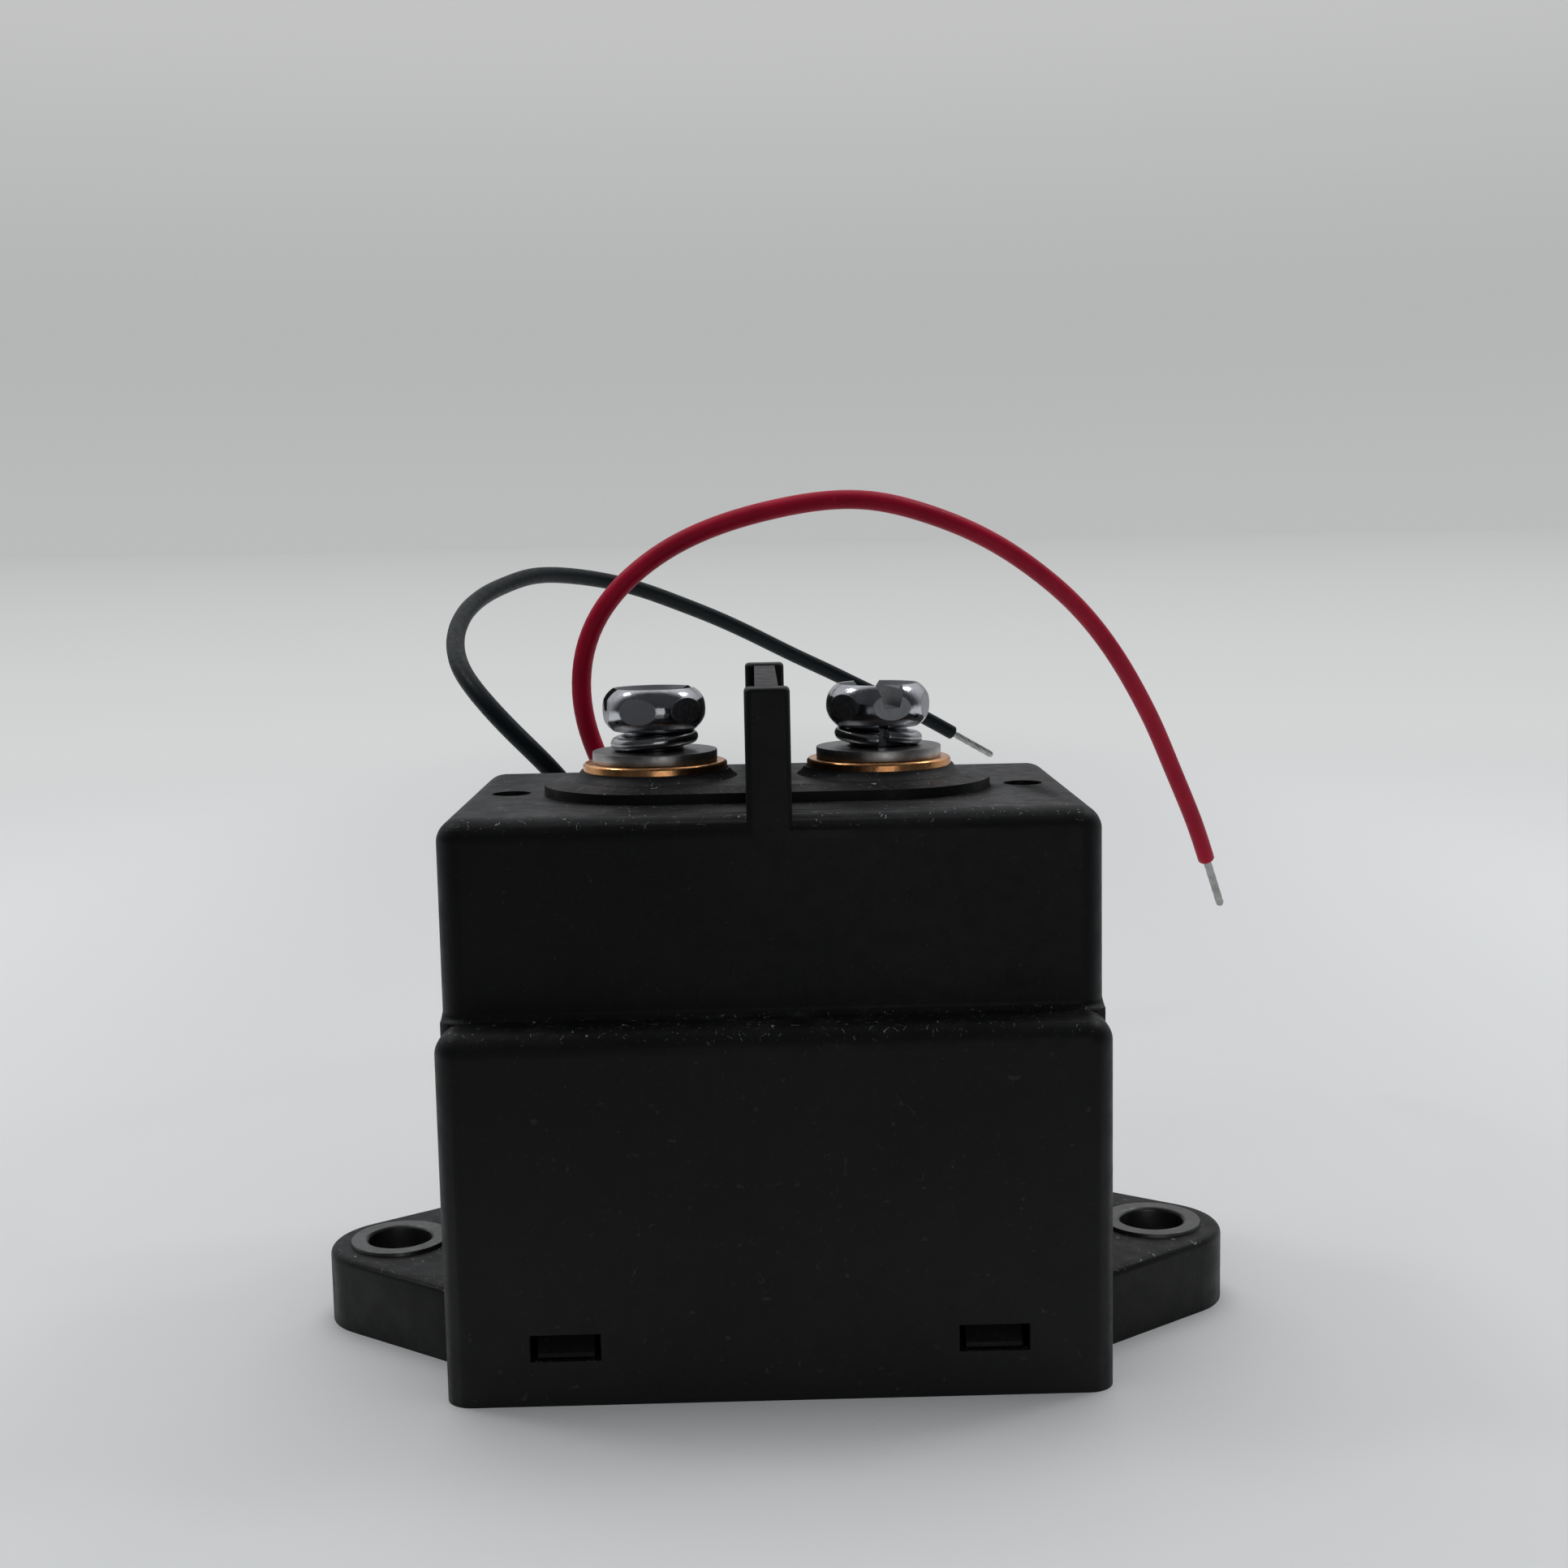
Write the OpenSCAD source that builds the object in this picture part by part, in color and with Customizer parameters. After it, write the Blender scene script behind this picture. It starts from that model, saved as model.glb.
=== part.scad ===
// Sealed dc relay with two stud terminals, two mounting ears and two flying coil leads.
// Millimetres. +Z is up, -Y is the front face and +X is to the right.
// The origin is at the centre of the base, on the surface that the relay stands on.

/* [Housing] */
// Depth of the upper body, front to back
upper_d = 40; // [38.5:0.5:44]
// Distance by which the base stands out at each side
side_step = 0.15; // [0.1:0.05:0.6]
// Distance by which the base stands out at the front and the rear
front_step = 5; // [4:0.25:7]
// Height of the ledge above the pole plate inside
ledge_rise = 4.8; // [4.4:0.1:6]
// Radius of the round along the edge of the ledge
ledge_round = 2.3; // [1.8:0.1:2.4]
// Radius of the fillet between the ledge and the upper body
ledge_fillet = 0.8; // [0.4:0.1:1.2]
// Amount by which the upright corners are rounder than the top edges
corner_land = 0.2; // [0.1:0.1:1.5]
// Radius of the round along the top edge
top_round = 2.3; // [1.2:0.1:2.4]
// Thickness of the side walls
wall = 1.6; // [1.2:0.1:1.7]
// Thickness of the flat top
top_wall = 2; // [1.6:0.1:2.1]
// Distance from each side to the middle of a blind screw hole
cover_hole_inset = 5.15; // [5:0.05:5.5]
// Diameter of the blind screw holes
cover_hole_d = 4; // [3:0.1:4.2]
// Depth of the blind screw holes
cover_hole_depth = 5; // [3:0.5:5]
// Gap between the bosses of the blind screw holes and the chamber inside
boss_side_gap = 0.95; // [0.5:0.05:3]

/* [Top pad and barrier] */
// Radius of the round ends of the raised pad
pad_r = 11.4; // [10.5:0.1:12]
// Height of the upright rim of the pad
pad_rim_h = 1; // [0.5:0.1:1.2]
// Height by which the pad's deck rises from the rim
pad_deck_h = 0.5; // [0.3:0.1:0.7]
// Height of the bosses round the terminals above the rim
pad_slope_h = 1.3; // [1:0.1:1.5]
// Height of the barrier above the flat top
barrier_h = 11.8; // [7:0.2:17]
// Thickness of the barrier's web
barrier_web_t = 2.25; // [1.5:0.05:3]
// Width of the posts at both ends of the barrier
barrier_post_w = 4.3; // [3:0.1:5.5]
// Depth of the posts at both ends of the barrier
barrier_post_d = 3.2; // [2:0.1:5]

/* [Mounting ears] */
// Distance from the base's side to the middle of a mounting hole
ear_out = 8.15; // [7.5:0.05:9.5]
// Radius of the round end of an ear
ear_r = 7.2; // [6:0.1:8]
// Height of the ears
ear_h = 7.7; // [6:0.1:10]
// Half of an ear's length where it meets the base
ear_root_half = 15; // [12:0.1:18]
// Radius of the round along an ear's top edge
ear_round = 0.8; // [0.4:0.1:1.2]
// Outer diameter of the mounting bushes
bush_od = 10.2; // [9:0.1:11]
// Inner diameter of the mounting bushes
bush_id = 6.6; // [6:0.1:7]
// Height of the bushes above the ears
bush_stand = 0.4; // [0:0.1:0.8]

/* [Base cover] */
// Thickness of the cover plate
cover_t = 2; // [1.5:0.1:2.2]
// Depth by which the cover sits above the mounting surface
cover_recess = 0.5; // [0.2:0.1:0.8]
// Distance between the middles of two snap windows
window_pitch = 40.3; // [36:0.1:44]
// Width of a snap window
window_w = 6.65; // [5:0.05:8]
// Height of the lower edge of a snap window
window_low = 4.35; // [4:0.05:5]
// Height of the snap window
window_h = 2.6; // [2.2:0.1:3.5]
// Thickness of a snap tongue
tongue_t = 1.2; // [0.8:0.1:1.4]
// Gap between a hook and each side of its window
hook_side_gap = 0.6; // [0.3:0.05:1]
// Distance by which a hook reaches into its window
hook_reach = 1.2; // [0.8:0.1:1.4]

/* [Terminals and fasteners] */
// Distance between the two terminals
terminal_pitch = 23; // [22.6:0.1:23.6]
// Diameter of a terminal's upper part
terminal_d = 14.8; // [14.4:0.1:15.2]
// Height of a terminal's top face above the flat top
terminal_rise = 3.1; // [2.6:0.1:5]
// Diameter of a terminal's lower part
terminal_stem_d = 10; // [9:0.1:11]
// Distance by which the lower part reaches below the chamber's roof
stem_drop = 2.5; // [2:0.1:2.6]
// Diameter of the bolt shanks
bolt_d = 6; // [5:0.1:6.2]
// Length of a bolt under its head
bolt_len = 12; // [9:0.5:12]
// Width across the flats of a bolt's head
bolt_af = 10; // [9:0.1:11]
// Height of a bolt's head
bolt_head_h = 4.35; // [3.5:0.05:5]
// Depth of the slot across a bolt's head
slot_depth = 2.2; // [1:0.1:2.6]
// Width of the slot at its floor
slot_floor_w = 1.6; // [1:0.1:2]
// Width of the slot at its mouth
slot_mouth_w = 2.8; // [2:0.1:3.4]
// Outer diameter of the flat washers
flat_washer_od = 12.8; // [12:0.1:14]
// Thickness of the flat washers
flat_washer_t = 1.15; // [1:0.05:1.6]
// Gap between a bolt and its split spring washer
washer_play = 0.12; // [0.1:0.02:0.3]
// Thickness of the wire of the spring washers
spring_washer_t = 1.4; // [1.2:0.1:1.6]
// Height that a leaning spring washer takes beyond its wire
spring_washer_rise = 0.65; // [0.3:0.05:1]

/* [Contacts] */
// Distance that the armature travels
armature_travel = 2.6; // [2:0.1:2.8]
// Open gap between the contacts
contact_gap = 1.8; // [1.2:0.1:1.9]
// Thickness of a contact tip
tip_t = 0.7; // [0.5:0.05:1]
// Diameter of a contact tip
tip_d = 8; // [6:0.1:9]
// Distance by which the contact bridge reaches past its tips
bridge_margin = 1; // [0.5:0.1:2]
// Width of the contact bridge
bridge_w = 10; // [9:0.1:12]
// Thickness of the contact bridge
bridge_t = 2.4; // [2:0.1:2.8]
// Diameter of the shaft
shaft_d = 3.6; // [3:0.1:4]
// Diameter of the collar under the contact spring
collar_d = 10.4; // [10:0.1:11.4]
// Thickness of the collar
collar_t = 1.5; // [1:0.1:1.8]
// Length of the contact spring at rest
contact_spring_len = 5.8; // [5.6:0.1:7]
// Thickness of the wire of the contact spring
contact_wire = 1.1; // [0.8:0.05:1.1]
// Number of turns of the contact spring
contact_turns = 3; // [2:1:3]

/* [Ceramic chamber] */
// Gap between the ends of the contact bridge and the chamber's walls
bridge_end_gap = 3.3; // [2.5:0.1:4]
// Wall thickness of the chamber
chamber_wall = 2.6; // [2:0.1:3]
// Thickness of the chamber's roof
chamber_roof = 3.2; // [2.8:0.1:3.4]
// Radius of the chamber's inner upright corners
chamber_inner_r = 0.4; // [0.3:0.1:1.2]
// Gap between the chamber's roof and the housing, filled by the gasket
gasket_t = 1.7; // [1.4:0.1:1.8]
// Thickness of the insulating floor of the chamber
floor_t = 1; // [0.6:0.1:1]
// Width of a blow-out magnet
magnet_w = 30; // [24:0.5:34]
// Thickness of a blow-out magnet
magnet_t = 3; // [2:0.1:3.2]
// Height of the blow-out magnets above the chamber's lower rim
magnet_rise = 3; // [2:0.2:6]
// Thickness of the steel strap around the magnets
strap_t = 1.2; // [0.8:0.1:1.3]
// Gap between the strap and the housing at the front and the rear
strap_gap = 1.16; // [0.6:0.02:2]

/* [Magnet system] */
// Gap between the iron frame and the housing at each side
frame_side_gap = 3.05; // [1.5:0.05:3.5]
// Depth of the iron frame
frame_d = 30; // [26:0.5:34]
// Thickness of the iron frame and the pole plate
iron_t = 2.5; // [2:0.1:2.6]
// Depth of the pole plate
pole_plate_d = 34; // [32:0.5:36]
// Height of the seam between the iron frame and the pole plate
pole_plate_low = 28.5; // [26:0.1:32]
// Thickness of the rubber pad under the iron frame
damper_t = 1; // [0.6:0.1:1.1]
// Outer diameter of the guide cup
cup_od = 14.4; // [13.6:0.1:15]
// Wall thickness of the guide cup
cup_wall = 0.4; // [0.3:0.05:0.5]
// Height of the fixed core under the pole plate
fixed_core_h = 7.6; // [6:0.1:8]
// Diameter of the fixed core's neck
core_neck_d = 9; // [8:0.1:10]
// Thickness of the rubber stop in the cup
stop_t = 0.8; // [0.5:0.1:1.2]
// Outer diameter of the return spring
return_spring_od = 8.2; // [7.4:0.1:8.4]
// Thickness of the wire of the return spring
return_wire = 0.8; // [0.6:0.05:0.9]
// Number of turns of the return spring
return_turns = 6; // [4:1:7]
// Gap between the bobbin and the iron frame at each side
bobbin_end_gap = 1.5; // [0.5:0.1:3]
// Gap between the bobbin and the housing at the front and the rear
bobbin_back_gap = 5.4; // [5:0.1:6]
// Thickness of the bobbin's flanges and barrel
bobbin_t = 1.2; // [0.9:0.1:1.3]
// Distance by which the winding stays inside the bobbin's flanges
winding_inset = 0.6; // [0.5:0.1:3]
// Thickness of the tape around the winding
tape_t = 0.3; // [0.2:0.05:0.3]

/* [Leads] */
// Diameter of the leads over their insulation
lead_d = 2.3; // [2:0.1:2.4]
// Diameter of the tinned conductors
conductor_d = 1.1; // [0.8:0.1:1.4]
// Length of each bare end
bare_len = 8.5; // [4:0.5:12]

/* [Hidden] */
$fn = 64;

// Overrun of every cut, and the clearances that all fits share
over = 1;
seat = 0.02;
running = 0.1;
loose = 0.15;

// Heights, from the base cover up to the flat top
cover_top = cover_recess + cover_t;
frame_low = cover_top + damper_t;
frame_floor = frame_low + iron_t;
pole_plate_top = pole_plate_low + iron_t;
neck_rise = 0.6;
neck_top = pole_plate_top + neck_rise;
collar_gap = 1.1;
collar_low = neck_top + collar_gap;
collar_top = collar_low + collar_t;
bridge_low = collar_top + contact_spring_len;
bridge_top = bridge_low + bridge_t;
moving_tip_top = bridge_top + tip_t;
fixed_tip_low = moving_tip_top + contact_gap;
contact_face = fixed_tip_low + tip_t;
chamber_top = contact_face + stem_drop + chamber_roof;
ceiling = chamber_top + gasket_t;
body_h = ceiling + top_wall;
ledge_h = pole_plate_top + ledge_rise;

// Widths, from the contacts out to the mounting holes
boss_wall = 1;
bridge_len = terminal_pitch + tip_d + 2 * bridge_margin;
chamber_w = bridge_len + 2 * (bridge_end_gap + chamber_wall);
cover_hole_pitch = chamber_w + 2 * (boss_side_gap + boss_wall) + cover_hole_d;
upper_w = cover_hole_pitch + 2 * cover_hole_inset;
base_w = upper_w + 2 * side_step;
ear_pitch = base_w + 2 * ear_out;

// Housing
base_d = upper_d + 2 * front_step;
corner_r = max(top_round, ledge_round) + corner_land;
cavity_upper_w = upper_w - 2 * wall;
cavity_upper_d = upper_d - 2 * wall;
cavity_base_w = base_w - 2 * wall;
cavity_base_d = base_d - 2 * wall;
cavity_r = corner_r - wall;
cavity_base_top = ledge_h - wall;
boss_floor = 1;
boss_low = body_h - cover_hole_depth - boss_floor;
barrier_top = body_h + barrier_h;
post_corner = 0.7;
post_round = 0.4;
bush_chamfer = 0.3;
cover_x = window_pitch / 2;
hook_flat = 0.5;
hook_top_gap = 0.3;
tongue_top = window_low + window_h + hook_flat;

// Terminals and fasteners
terminal_x = terminal_pitch / 2;
terminal_top = body_h + terminal_rise;
terminal_hole_r = terminal_d / 2 + running;
pad_lip = 0.15;
pad_lip_r = terminal_hole_r + pad_lip;
pad_boss_foot = 1.75;
pad_deck_r = pad_lip_r + pad_boss_foot;
pad_sweep_low = pad_deck_h / 2;
pad_sweep_h = pad_slope_h - pad_sweep_low;
pad_sweep_r = (pow(pad_boss_foot, 2) + pow(pad_sweep_h, 2)) / (2 * pad_sweep_h);
terminal_edge = 0.2;
bolt_bore_r = bolt_d / 2 + seat;
bolt_bore_below = 0.8;
flat_washer_top = terminal_top + flat_washer_t;
washer_hole_r = bolt_d / 2 + 2 * running;
spring_washer_od = bolt_d + 2 * (spring_washer_t + washer_play);
head_low = flat_washer_top + spring_washer_t + spring_washer_rise;
head_barrel = 0.35;
head_rim_r = bolt_af / 2 + head_barrel;
head_profile_share = 0.486;
head_profile_r = head_rim_r * head_profile_share;
dish_depth = 0.4;
dish_rim = 0.62;
left_bolt_turn = 13.6;
right_bolt_turn = -76.8;
left_split_turn = 90;
right_split_turn = -86;
split_angle = 12;
ring_start = 0.07;
ring_lift = 0.86;
ring_lean = 0.7;

// Ceramic chamber
chamber_d = cavity_upper_d - 2 * (strap_gap + strap_t + magnet_t + 2 * seat);
chamber_r = chamber_wall + chamber_inner_r;
skirt_h = 2;
skirt_t = 0.6;
skirt_inset = 0.7;
skirt_foot_t = 0.5;
chamber_low = pole_plate_top + skirt_h;
skirt_w = chamber_w - 2 * skirt_inset;
skirt_d = chamber_d - 2 * skirt_inset;
skirt_foot = 2 * skirt_inset;
floor_gap = 2;
gasket_land = 2.4;
gasket_bore_r = terminal_d / 2 + loose;
boss_gap = 0.5;
strap_margin = 0.5;
magnet_low = chamber_low + magnet_rise;
magnet_h = boss_low - boss_gap - strap_margin - magnet_low;
magnet_y = chamber_d / 2 + seat;
strap_in_w = chamber_w + 2 * loose;
strap_in_d = 2 * (magnet_y + magnet_t + seat);
strap_r = 2;

// Contacts
clip_t = 0.8;
clip_w = 1.6;
clip_groove = 0.35;
clip_mouth = 2.4;
shaft_end = 1.2;
shaft_top = bridge_top + clip_t + shaft_end;
contact_spring_r = (collar_d - contact_wire) / 2 - 2 * loose;

// Magnet system
frame_w = cavity_base_w - 2 * frame_side_gap;
bobbin_w = frame_w - 2 * (iron_t + bobbin_end_gap);
bobbin_d = cavity_base_d - 2 * bobbin_back_gap;
winding_od = bobbin_d - 2 * winding_inset;
frame_inner_bend = 0.4;
frame_bend_r = iron_t + frame_inner_bend;
damper_margin = 2;
cup_low = frame_low + running;
cup_in_r = cup_od / 2 - cup_wall;
cup_rim = 1.5;
core_r = cup_in_r - running;
fixed_core_low = pole_plate_low - fixed_core_h;
plunger_top = fixed_core_low - armature_travel;
cup_floor = cup_low + cup_wall;
plunger_low = cup_floor + stop_t;
stop_inset = 0.7;
spring_pocket_r = return_spring_od / 2 + 2 * loose;
plunger_pocket = 6;
core_pocket = 2.5;
shaft_low = plunger_low + shaft_end;
shaft_bore_r = shaft_d / 2 + running;
return_spring_r = (return_spring_od - return_wire) / 2;
bobbin_low = frame_floor + running;
bobbin_top = pole_plate_low - cup_wall - running;
barrel_in_r = cup_od / 2 + loose;
barrel_r = barrel_in_r + bobbin_t;
bobbin_corner = 4;
winding_gap = 0.2;

// Leads
gland_inset = 7;
gland_x = gland_inset - bobbin_w / 2;
lead_pitch = 4;
lead_z = bobbin_top;
gland_w = 11.6;
gland_h = 6.4;
gland_flange = 1.2;
gland_inner_flange = 0.9;
gland_neck_inset = 1;
gland_half_pitch = (gland_w - gland_h) / 2;
gland_face = base_d / 2 + gland_flange;
red_x = gland_x + lead_pitch / 2;
black_x = gland_x - lead_pitch / 2;
pin_block_w = 10;
pin_block_h = 2.7;
pin_block_back = 3.2;
pin_block_in = 2;
pin_block_low = bobbin_top - bobbin_t - pin_block_h;
pin_len = 4.8;
pin_d = 1;
pin_y = bobbin_d / 2 + pin_block_back / 2;
inner_lead_start = bobbin_d / 2 + 4 * loose;
lead_straight = 2;
tube_sides = 8;
spring_sides = 6;
washer_sides = 12;
turn_steps = 16;
washer_steps = 40;

// Routes of the two free leads after their straight start, set by hand
red_route = [
    [-14, 31.5, 30], [-14.5, 34, 35.5], [-15.5, 34, 42], [-17, 33.5, 48], [-19.5, 32.5, 54],
    [-21.5, 31.5, 60], [-21.5, 31, 66.5], [-19.5, 31, 72], [-15.5, 31.5, 76.5], [-10.5, 32.5, 80],
    [-4.5, 33.5, 82.5], [1.5, 34.5, 84], [7.5, 36.5, 85], [13.5, 38, 85], [19.5, 40.5, 83.5],
    [25, 42.5, 81.5], [30, 45, 79], [34.5, 47.5, 76], [39, 50.5, 72.5], [43, 53.5, 68.5],
    [46.5, 56, 64], [49.5, 59, 59.5], [52.5, 62, 54.5], [55, 65, 49.5], [57.5, 67.5, 44.5],
    [60, 70.5, 39.5], [62, 73, 34.5]
];
black_route = [
    [-18, 31.5, 30], [-18.5, 34, 35.5], [-19.5, 34, 42], [-21.5, 33, 48], [-25, 31.5, 53.5],
    [-29.5, 31.5, 58], [-33.5, 34, 62], [-36.5, 38.5, 65], [-38, 44, 67], [-39, 50.5, 69],
    [-39, 56.5, 71], [-38.5, 62.5, 72.5], [-37, 68.5, 74], [-35, 74.5, 75], [-32.5, 80, 76],
    [-29.5, 85.5, 76], [-26, 90.5, 75.5], [-21.5, 95.5, 74.5], [-17, 99.5, 73], [-12.5, 103.5, 71],
    [-8, 107.5, 69], [-3, 111, 66.5], [1.5, 114.5, 64], [6, 117.5, 61.5], [11, 120.5, 59],
    [16.5, 123, 56], [21.5, 125.5, 53.5], [27, 128, 50.5], [32, 130, 47.5]
];
red_points = concat(
    [[red_x, gland_face, lead_z], [red_x, gland_face + lead_straight, lead_z]], red_route
);
black_points = concat(
    [[black_x, gland_face, lead_z], [black_x, gland_face + lead_straight, lead_z]], black_route
);

// Flat outlines
module rounded_outline(w, d, r) {
    square([w - 2 * r, d], center = true);
    square([w, d - 2 * r], center = true);
    for (sx = [-1, 1], sy = [-1, 1])
        translate([sx * (w / 2 - r), sy * (d / 2 - r)]) circle(r = r);
}

module slot_outline(half_pitch, r) {
    square([2 * half_pitch, 2 * r], center = true);
    for (s = [-1, 1]) translate([s * half_pitch, 0]) circle(r = r);
}

// A block that stands on the XY plane, with upright corners of radius rc and a top edge of radius rt
module soft_block(w, d, h, rc, rt) {
    linear_extrude(h - rt) rounded_outline(w, d, rc);
    linear_extrude(h) rounded_outline(w - 2 * rt, d - 2 * rt, rc - rt);
    for (s = [-1, 1]) {
        translate([0, s * (d / 2 - rt), h - rt]) rotate([0, 90, 0])
            cylinder(r = rt, h = w - 2 * rc, center = true);
        translate([s * (w / 2 - rt), 0, h - rt]) rotate([90, 0, 0])
            cylinder(r = rt, h = d - 2 * rc, center = true);
    }
    for (sx = [-1, 1], sy = [-1, 1])
        translate([sx * (w / 2 - rc), sy * (d / 2 - rc), h - rt]) rotate_extrude() {
            square([rc - rt, rt]);
            translate([rc - rt, 0]) intersection() {
                circle(r = rt);
                square(rt);
            }
        }
}

// Sweeps of a round or oblong section along a list of points
function unit(v) = v / norm(v);
function direction(p, i) = unit(p[min(i + 1, len(p) - 1)] - p[max(i - 1, 0)]);
function across(v, t) = unit(v - (v * t) * t);
function carry(p, i, v) = i == len(p) ? [] :
    let (u = across(v, direction(p, i))) concat([u], carry(p, i + 1, u));
function ring(c, u, v, r, sides) =
    [for (k = [0 : sides - 1]) c + r * (cos(360 * k / sides) * u + sin(360 * k / sides) * v)];

module sweep(p, r, sides) {
    n = len(p);
    u = carry(p, 0, across([0, 0, 1], direction(p, 0)));
    points = [for (i = [0 : n - 1]) each ring(p[i], u[i], cross(direction(p, i), u[i]), r, sides)];
    side = [for (i = [0 : n - 2], k = [0 : sides - 1])
        let (a = i * sides + k, b = i * sides + (k + 1) % sides)
        each [[a, a + sides, b], [b, a + sides, b + sides]]];
    ends = [for (k = [1 : sides - 2])
        each [[0, k, k + 1], [(n - 1) * sides, (n - 1) * sides + k + 1, (n - 1) * sides + k]]];
    polyhedron(points = points, faces = concat(side, ends), convexity = 6);
}

// Points of a helix about the Z axis, from one height to another
function helix(r, from_z, to_z, start, angle, steps) =
    [for (i = [0 : steps])
        let (a = start + angle * i / steps)
        [r * cos(a), r * sin(a), from_z + (to_z - from_z) * i / steps]];

// Points of a split ring that leans in the gap between its washer and the head, from one end to the other
function leaning_ring(r, low, high, split, gap, steps) =
    [for (i = [0 : steps])
        let (a = gap / 2 + (360 - gap) * i / steps,
            share = ring_start + ring_lift * a / 360 + ring_lean * sin(a))
        [r * cos(split - a), r * sin(split - a), low + (high - low) * share]];

module tube(r_out, r_in, low, high) {
    translate([0, 0, low]) difference() {
        cylinder(r = r_out, h = high - low);
        translate([0, 0, -over]) cylinder(r = r_in, h = high - low + 2 * over);
    }
}

// Housing, in one moulding: base, upper body, pad, barrier and ears
module ledge_fillets() {
    f = ledge_fillet;
    bar = upper_w - 2 * corner_r;
    intersection() {
        translate([0, 0, ledge_h - ledge_round]) linear_extrude(ledge_round + f)
            rounded_outline(upper_w, base_d, corner_r);
        for (s = [0, 1]) mirror([0, s, 0]) {
            translate([0, upper_d / 2, ledge_h]) difference() {
                translate([-bar / 2, -f, -ledge_round]) cube([bar, 2 * f, ledge_round + f]);
                translate([0, f, f]) rotate([0, 90, 0])
                    cylinder(r = f, h = bar + 2 * over, center = true);
            }
            for (t = [0, 1]) mirror([t, 0, 0])
                translate([bar / 2, upper_d / 2 - corner_r, ledge_h]) rotate_extrude(angle = 90)
                    difference() {
                        translate([corner_r - f, -ledge_round]) square([2 * f, ledge_round + f]);
                        translate([corner_r + f, f]) circle(r = f);
                    }
        }
    }
}

module pad_slope() {
    polygon([
        [0, -pad_rim_h], [pad_r, -pad_rim_h], [pad_r, 0], [pad_deck_r, pad_deck_h], [0, pad_deck_h]
    ]);
}

module top_pad() {
    translate([0, 0, ceiling]) linear_extrude(top_wall + pad_rim_h)
        slot_outline(terminal_x, pad_r);
    translate([-terminal_x, 0, body_h + pad_rim_h]) rotate([90, 0, 90]) linear_extrude(terminal_pitch)
        for (s = [0, 1]) mirror([s, 0]) pad_slope();
    for (s = [-1, 1]) translate([s * terminal_x, 0, body_h + pad_rim_h]) {
        rotate_extrude() pad_slope();
        rotate_extrude() difference() {
            translate([0, -pad_rim_h]) square([pad_deck_r, pad_rim_h + pad_slope_h]);
            translate([pad_deck_r, pad_sweep_low + pad_sweep_r]) circle(r = pad_sweep_r);
        }
    }
}

module barrier() {
    foot = body_h - top_round;
    for (s = [-1, 1])
        translate([0, s * (upper_d - barrier_post_d) / 2, foot])
            soft_block(barrier_post_w, barrier_post_d, barrier_top - foot, post_corner, post_round);
    translate([-barrier_web_t / 2, -(upper_d - barrier_post_d) / 2, foot])
        cube([barrier_web_t, upper_d - barrier_post_d, barrier_top - foot - post_round / 2]);
}

// Flank angle of an ear, and its outline drawn in by e on the right-hand side
ear_x = ear_pitch / 2;
ear_reach = ear_x - base_w / 2;
ear_flank = atan2(ear_root_half, ear_reach) - asin(ear_r / norm([ear_reach, ear_root_half]));
function ear_root(e) = [base_w / 2, e / cos(ear_flank) - ear_root_half];
function ear_tangent(e) = [ear_x + (ear_r - e) * sin(ear_flank), (e - ear_r) * cos(ear_flank)];
function flipped(v) = [v[0], -v[1]];

module ear_outline(e) {
    translate([ear_x, 0]) circle(r = ear_r - e);
    polygon([
        [base_w / 2 - wall, ear_root(e)[1]], ear_root(e), ear_tangent(e),
        flipped(ear_tangent(e)), flipped(ear_root(e)), [base_w / 2 - wall, -ear_root(e)[1]]
    ]);
}

module ear() {
    linear_extrude(ear_h - ear_round) ear_outline(0);
    linear_extrude(ear_h) ear_outline(ear_round);
    flank = norm(ear_tangent(ear_round) - ear_root(ear_round));
    translate([ear_x, 0, ear_h - ear_round]) rotate_extrude()
        translate([ear_r - ear_round, 0]) circle(r = ear_round);
    for (s = [0, 1]) mirror([0, s, 0])
        translate([ear_root(ear_round)[0], ear_root(ear_round)[1], ear_h - ear_round])
            rotate([0, 0, ear_flank]) rotate([0, 90, 0])
                translate([0, 0, -wall]) cylinder(r = ear_round, h = flank + wall);
}

module windows() {
    for (sx = [-1, 1], sy = [-1, 1])
        translate([sx * cover_x - window_w / 2, sy * (base_d - wall) / 2 - wall / 2 - over, window_low])
            cube([window_w, wall + 2 * over, window_h]);
}

module along_y(x, y, z) {
    translate([x, y, z]) rotate([-90, 0, 0]) children();
}

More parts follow.
